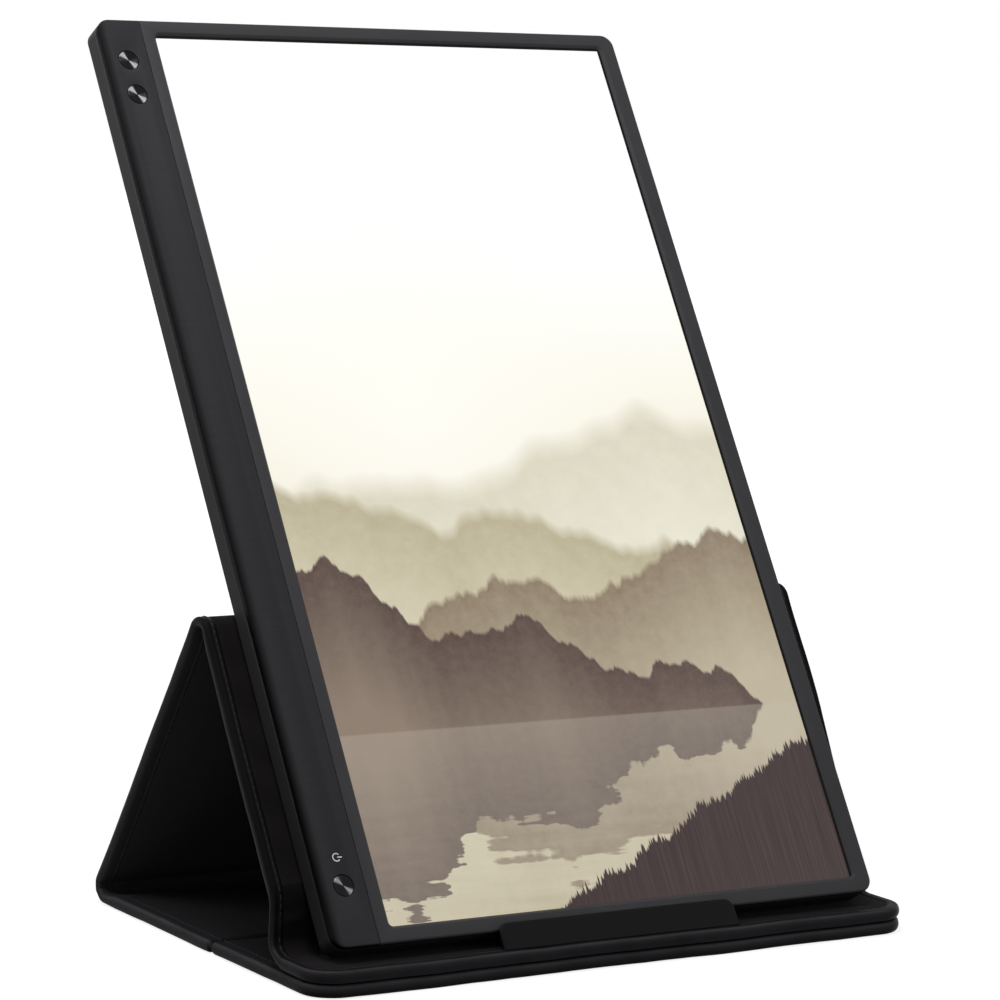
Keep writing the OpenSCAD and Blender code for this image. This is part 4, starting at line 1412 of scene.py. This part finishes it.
class LEDGE_OT_build(bpy.types.Operator):
    """Builds the ledge that carries the monitor"""
    bl_idname = "monitor.ledge"
    bl_label = "Ledge"

    def execute(self, context):
        length = high("ledge_skin").y - low("ledge_skin").y
        flat_layer("ledge", "ledge", "ledge", 0, length, "start", ["ledge_skin"], ["ledge_lining"])
        return {"FINISHED"}


class FOLDS_OT_build(bpy.types.Operator):
    """Builds the leather that bends at the rear fold, the ridge and the soft foot"""
    bl_idname = "monitor.folds"
    bl_label = "Folds"

    def execute(self, context):
        cover = context.scene.cover_sizes
        rear, ridge, front = fold_points()
        t, reach = cover.layer, cover.reach
        a = math.pi / 2 - cover.angle
        r_rear, r_support = cover.rear_offset + t, cover.support_offset + t

        way = facet_way(rear, rear.y, r_rear, a, cover.lift_off, reach)
        fold_layer("rear_fold", way, thinning(way, 0.74, 9 * MM), ["rear_crease"],
                   ("base", "rear_panel", (0, rear.x, 0), (0, rear.x, 11 * MM)), shades=(BASE_PAINTED_FILL, 1))

        way = spiral_way(ridge, r_rear, r_support, a, math.pi - a, reach, reach)
        fold_layer("ridge", way, thinning(way, 0.78, 8 * MM), ["ridge_crease"],
                   ("rear_panel", "support", (0, ridge.x + 7 * MM, ridge.y), (0, ridge.x - 7 * MM, ridge.y)))

        up = Vector((math.cos(cover.angle), math.sin(cover.angle)))
        out = Vector((-up.y, up.x))
        top = front + up * cover.foot + out * r_support
        end = Vector((high("ledge_skin").y, high("ledge_skin").z))
        points = [top, top - up * 12 * MM + Vector((0.8 * MM, 0)), end + Vector((15 * MM, 0)), end]
        way = []
        for i in range(25):
            k = i / 24
            p = (points[0] * (1 - k) ** 3 + points[1] * 3 * k * (1 - k) ** 2
                 + points[2] * 3 * k * k * (1 - k) + points[3] * k ** 3)
            d = ((points[1] - points[0]) * (1 - k) ** 2 + (points[2] - points[1]) * 2 * k * (1 - k)
                 + (points[3] - points[2]) * k * k).normalized()
            way.append((p, Vector((d.y, -d.x))))

        def wrinkle(s, x):
            inset = cover.width / 2 - abs(x)
            side, edge = max(0.0, 1 - inset / (46 * MM)), max(0.0, 1 - inset / (7 * MM))
            lift = noise.noise(Vector((x * 34 + 7, s * 5.2, 3.3)))
            lift += 0.5 * noise.noise(Vector((x * 80, s * 9, 1.1)))
            fade = math.sin(math.pi * min(max(s, 0), 1)) ** 0.8
            return 0.0, fade * (1.5 * MM * lift * side * (1 - 0.6 * edge) - 0.4 * MM * side)

        fold_layer("foot", way, thinning(way, 0.62, 7 * MM), ["foot_crease"],
                   ("support", "ledge", (0, top.x, top.y), (0, end.x, end.y)), wrinkle, 1)
        return {"FINISHED"}


class LIP_OT_build(bpy.types.Operator):
    """Builds the lip that stops the monitor's lower edge"""
    bl_idname = "monitor.lip"
    bl_label = "Lip"

    def execute(self, context):
        a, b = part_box("lip")
        angle = context.scene.cover_sizes.angle
        width = b.x - a.x
        tuck, shift = 1.7 * MM, -1.5 * MM
        height, thick = 8.5 * MM + tuck, 1.5 * MM
        begin()
        bpy.ops.mesh.primitive_plane_add(size=1, location=(0, height / 2, 0))
        piece = context.object
        piece.name = piece.data.name = "stop_lip"
        edit()
        bpy.ops.transform.resize(value=(width - 1 * MM, height, 1))
        leave()
        settle(piece)
        choose(piece, "vertices", lambda v: v.co.y > height / 2)
        bpy.ops.mesh.bevel(offset=4 * MM, segments=8, affect="VERTICES")
        bpy.context.tool_settings.mesh_select_mode = (False, False, True)
        bpy.ops.mesh.select_all(action="SELECT")
        leave()
        for v in piece.data.vertices:
            v.co.z = 0
        curve = quarter_turn(thick / 2) + [(1.2 * MM, 0.0)]
        build_profile(piece, curve, curve)
        foot = Vector(((a.x + b.x) / 2 + shift, LIP_FOOT[0] - tuck * math.cos(angle),
                       LIP_FOOT[1] - tuck * math.sin(angle)))
        m = Matrix.Translation(foot) @ Matrix.Rotation(angle, 4, "X")
        piece.data.transform(m)
        smooth(piece, 50)
        dress(piece, made("lip_finish"))
        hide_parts("lip")
        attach(piece, "lip")
        return {"FINISHED"}


class MONITOR_PT_pieces(bpy.types.Panel):
    """Lists the pieces of the monitor and its cover"""
    bl_idname = "MONITOR_PT_pieces"
    bl_label = "Monitor on its cover"
    bl_space_type = "VIEW_3D"
    bl_region_type = "UI"
    bl_category = "Monitor"

    def draw(self, context):
        for operator in OPERATORS:
            self.layout.operator(operator.bl_idname)
        for group in (context.scene.cover_sizes, context.scene.monitor_sizes, context.scene.finish_colours):
            column = self.layout.column()
            for key in group.__annotations__:
                column.prop(group, key)


OPERATORS = (STAGE_OT_build, MATERIALS_OT_build, FRONT_OT_build, SCREEN_OT_build, BUTTONS_OT_build,
             SYMBOL_OT_build, BASE_OT_build, PANELS_OT_build, LEDGE_OT_build, FOLDS_OT_build, LIP_OT_build)
GROUPS = (CoverSizes, MonitorSizes, FinishColours)


def register():
    for item in GROUPS + OPERATORS + (MONITOR_PT_pieces,):
        bpy.utils.register_class(item)
    bpy.types.Scene.cover_sizes = bpy.props.PointerProperty(type=CoverSizes)
    bpy.types.Scene.monitor_sizes = bpy.props.PointerProperty(type=MonitorSizes)
    bpy.types.Scene.finish_colours = bpy.props.PointerProperty(type=FinishColours)


def unregister():
    del bpy.types.Scene.cover_sizes, bpy.types.Scene.monitor_sizes, bpy.types.Scene.finish_colours
    for item in reversed(GROUPS + OPERATORS + (MONITOR_PT_pieces,)):
        bpy.utils.unregister_class(item)


def main():
    register()
    bpy.ops.monitor.stage()
    bpy.ops.monitor.materials()
    bpy.ops.monitor.front()
    bpy.ops.monitor.screen()
    bpy.ops.monitor.buttons()
    bpy.ops.monitor.symbol()
    bpy.ops.monitor.base()
    bpy.ops.monitor.panels()
    bpy.ops.monitor.ledge()
    bpy.ops.monitor.folds()
    bpy.ops.monitor.lip()


if __name__ == "__main__":
    main()
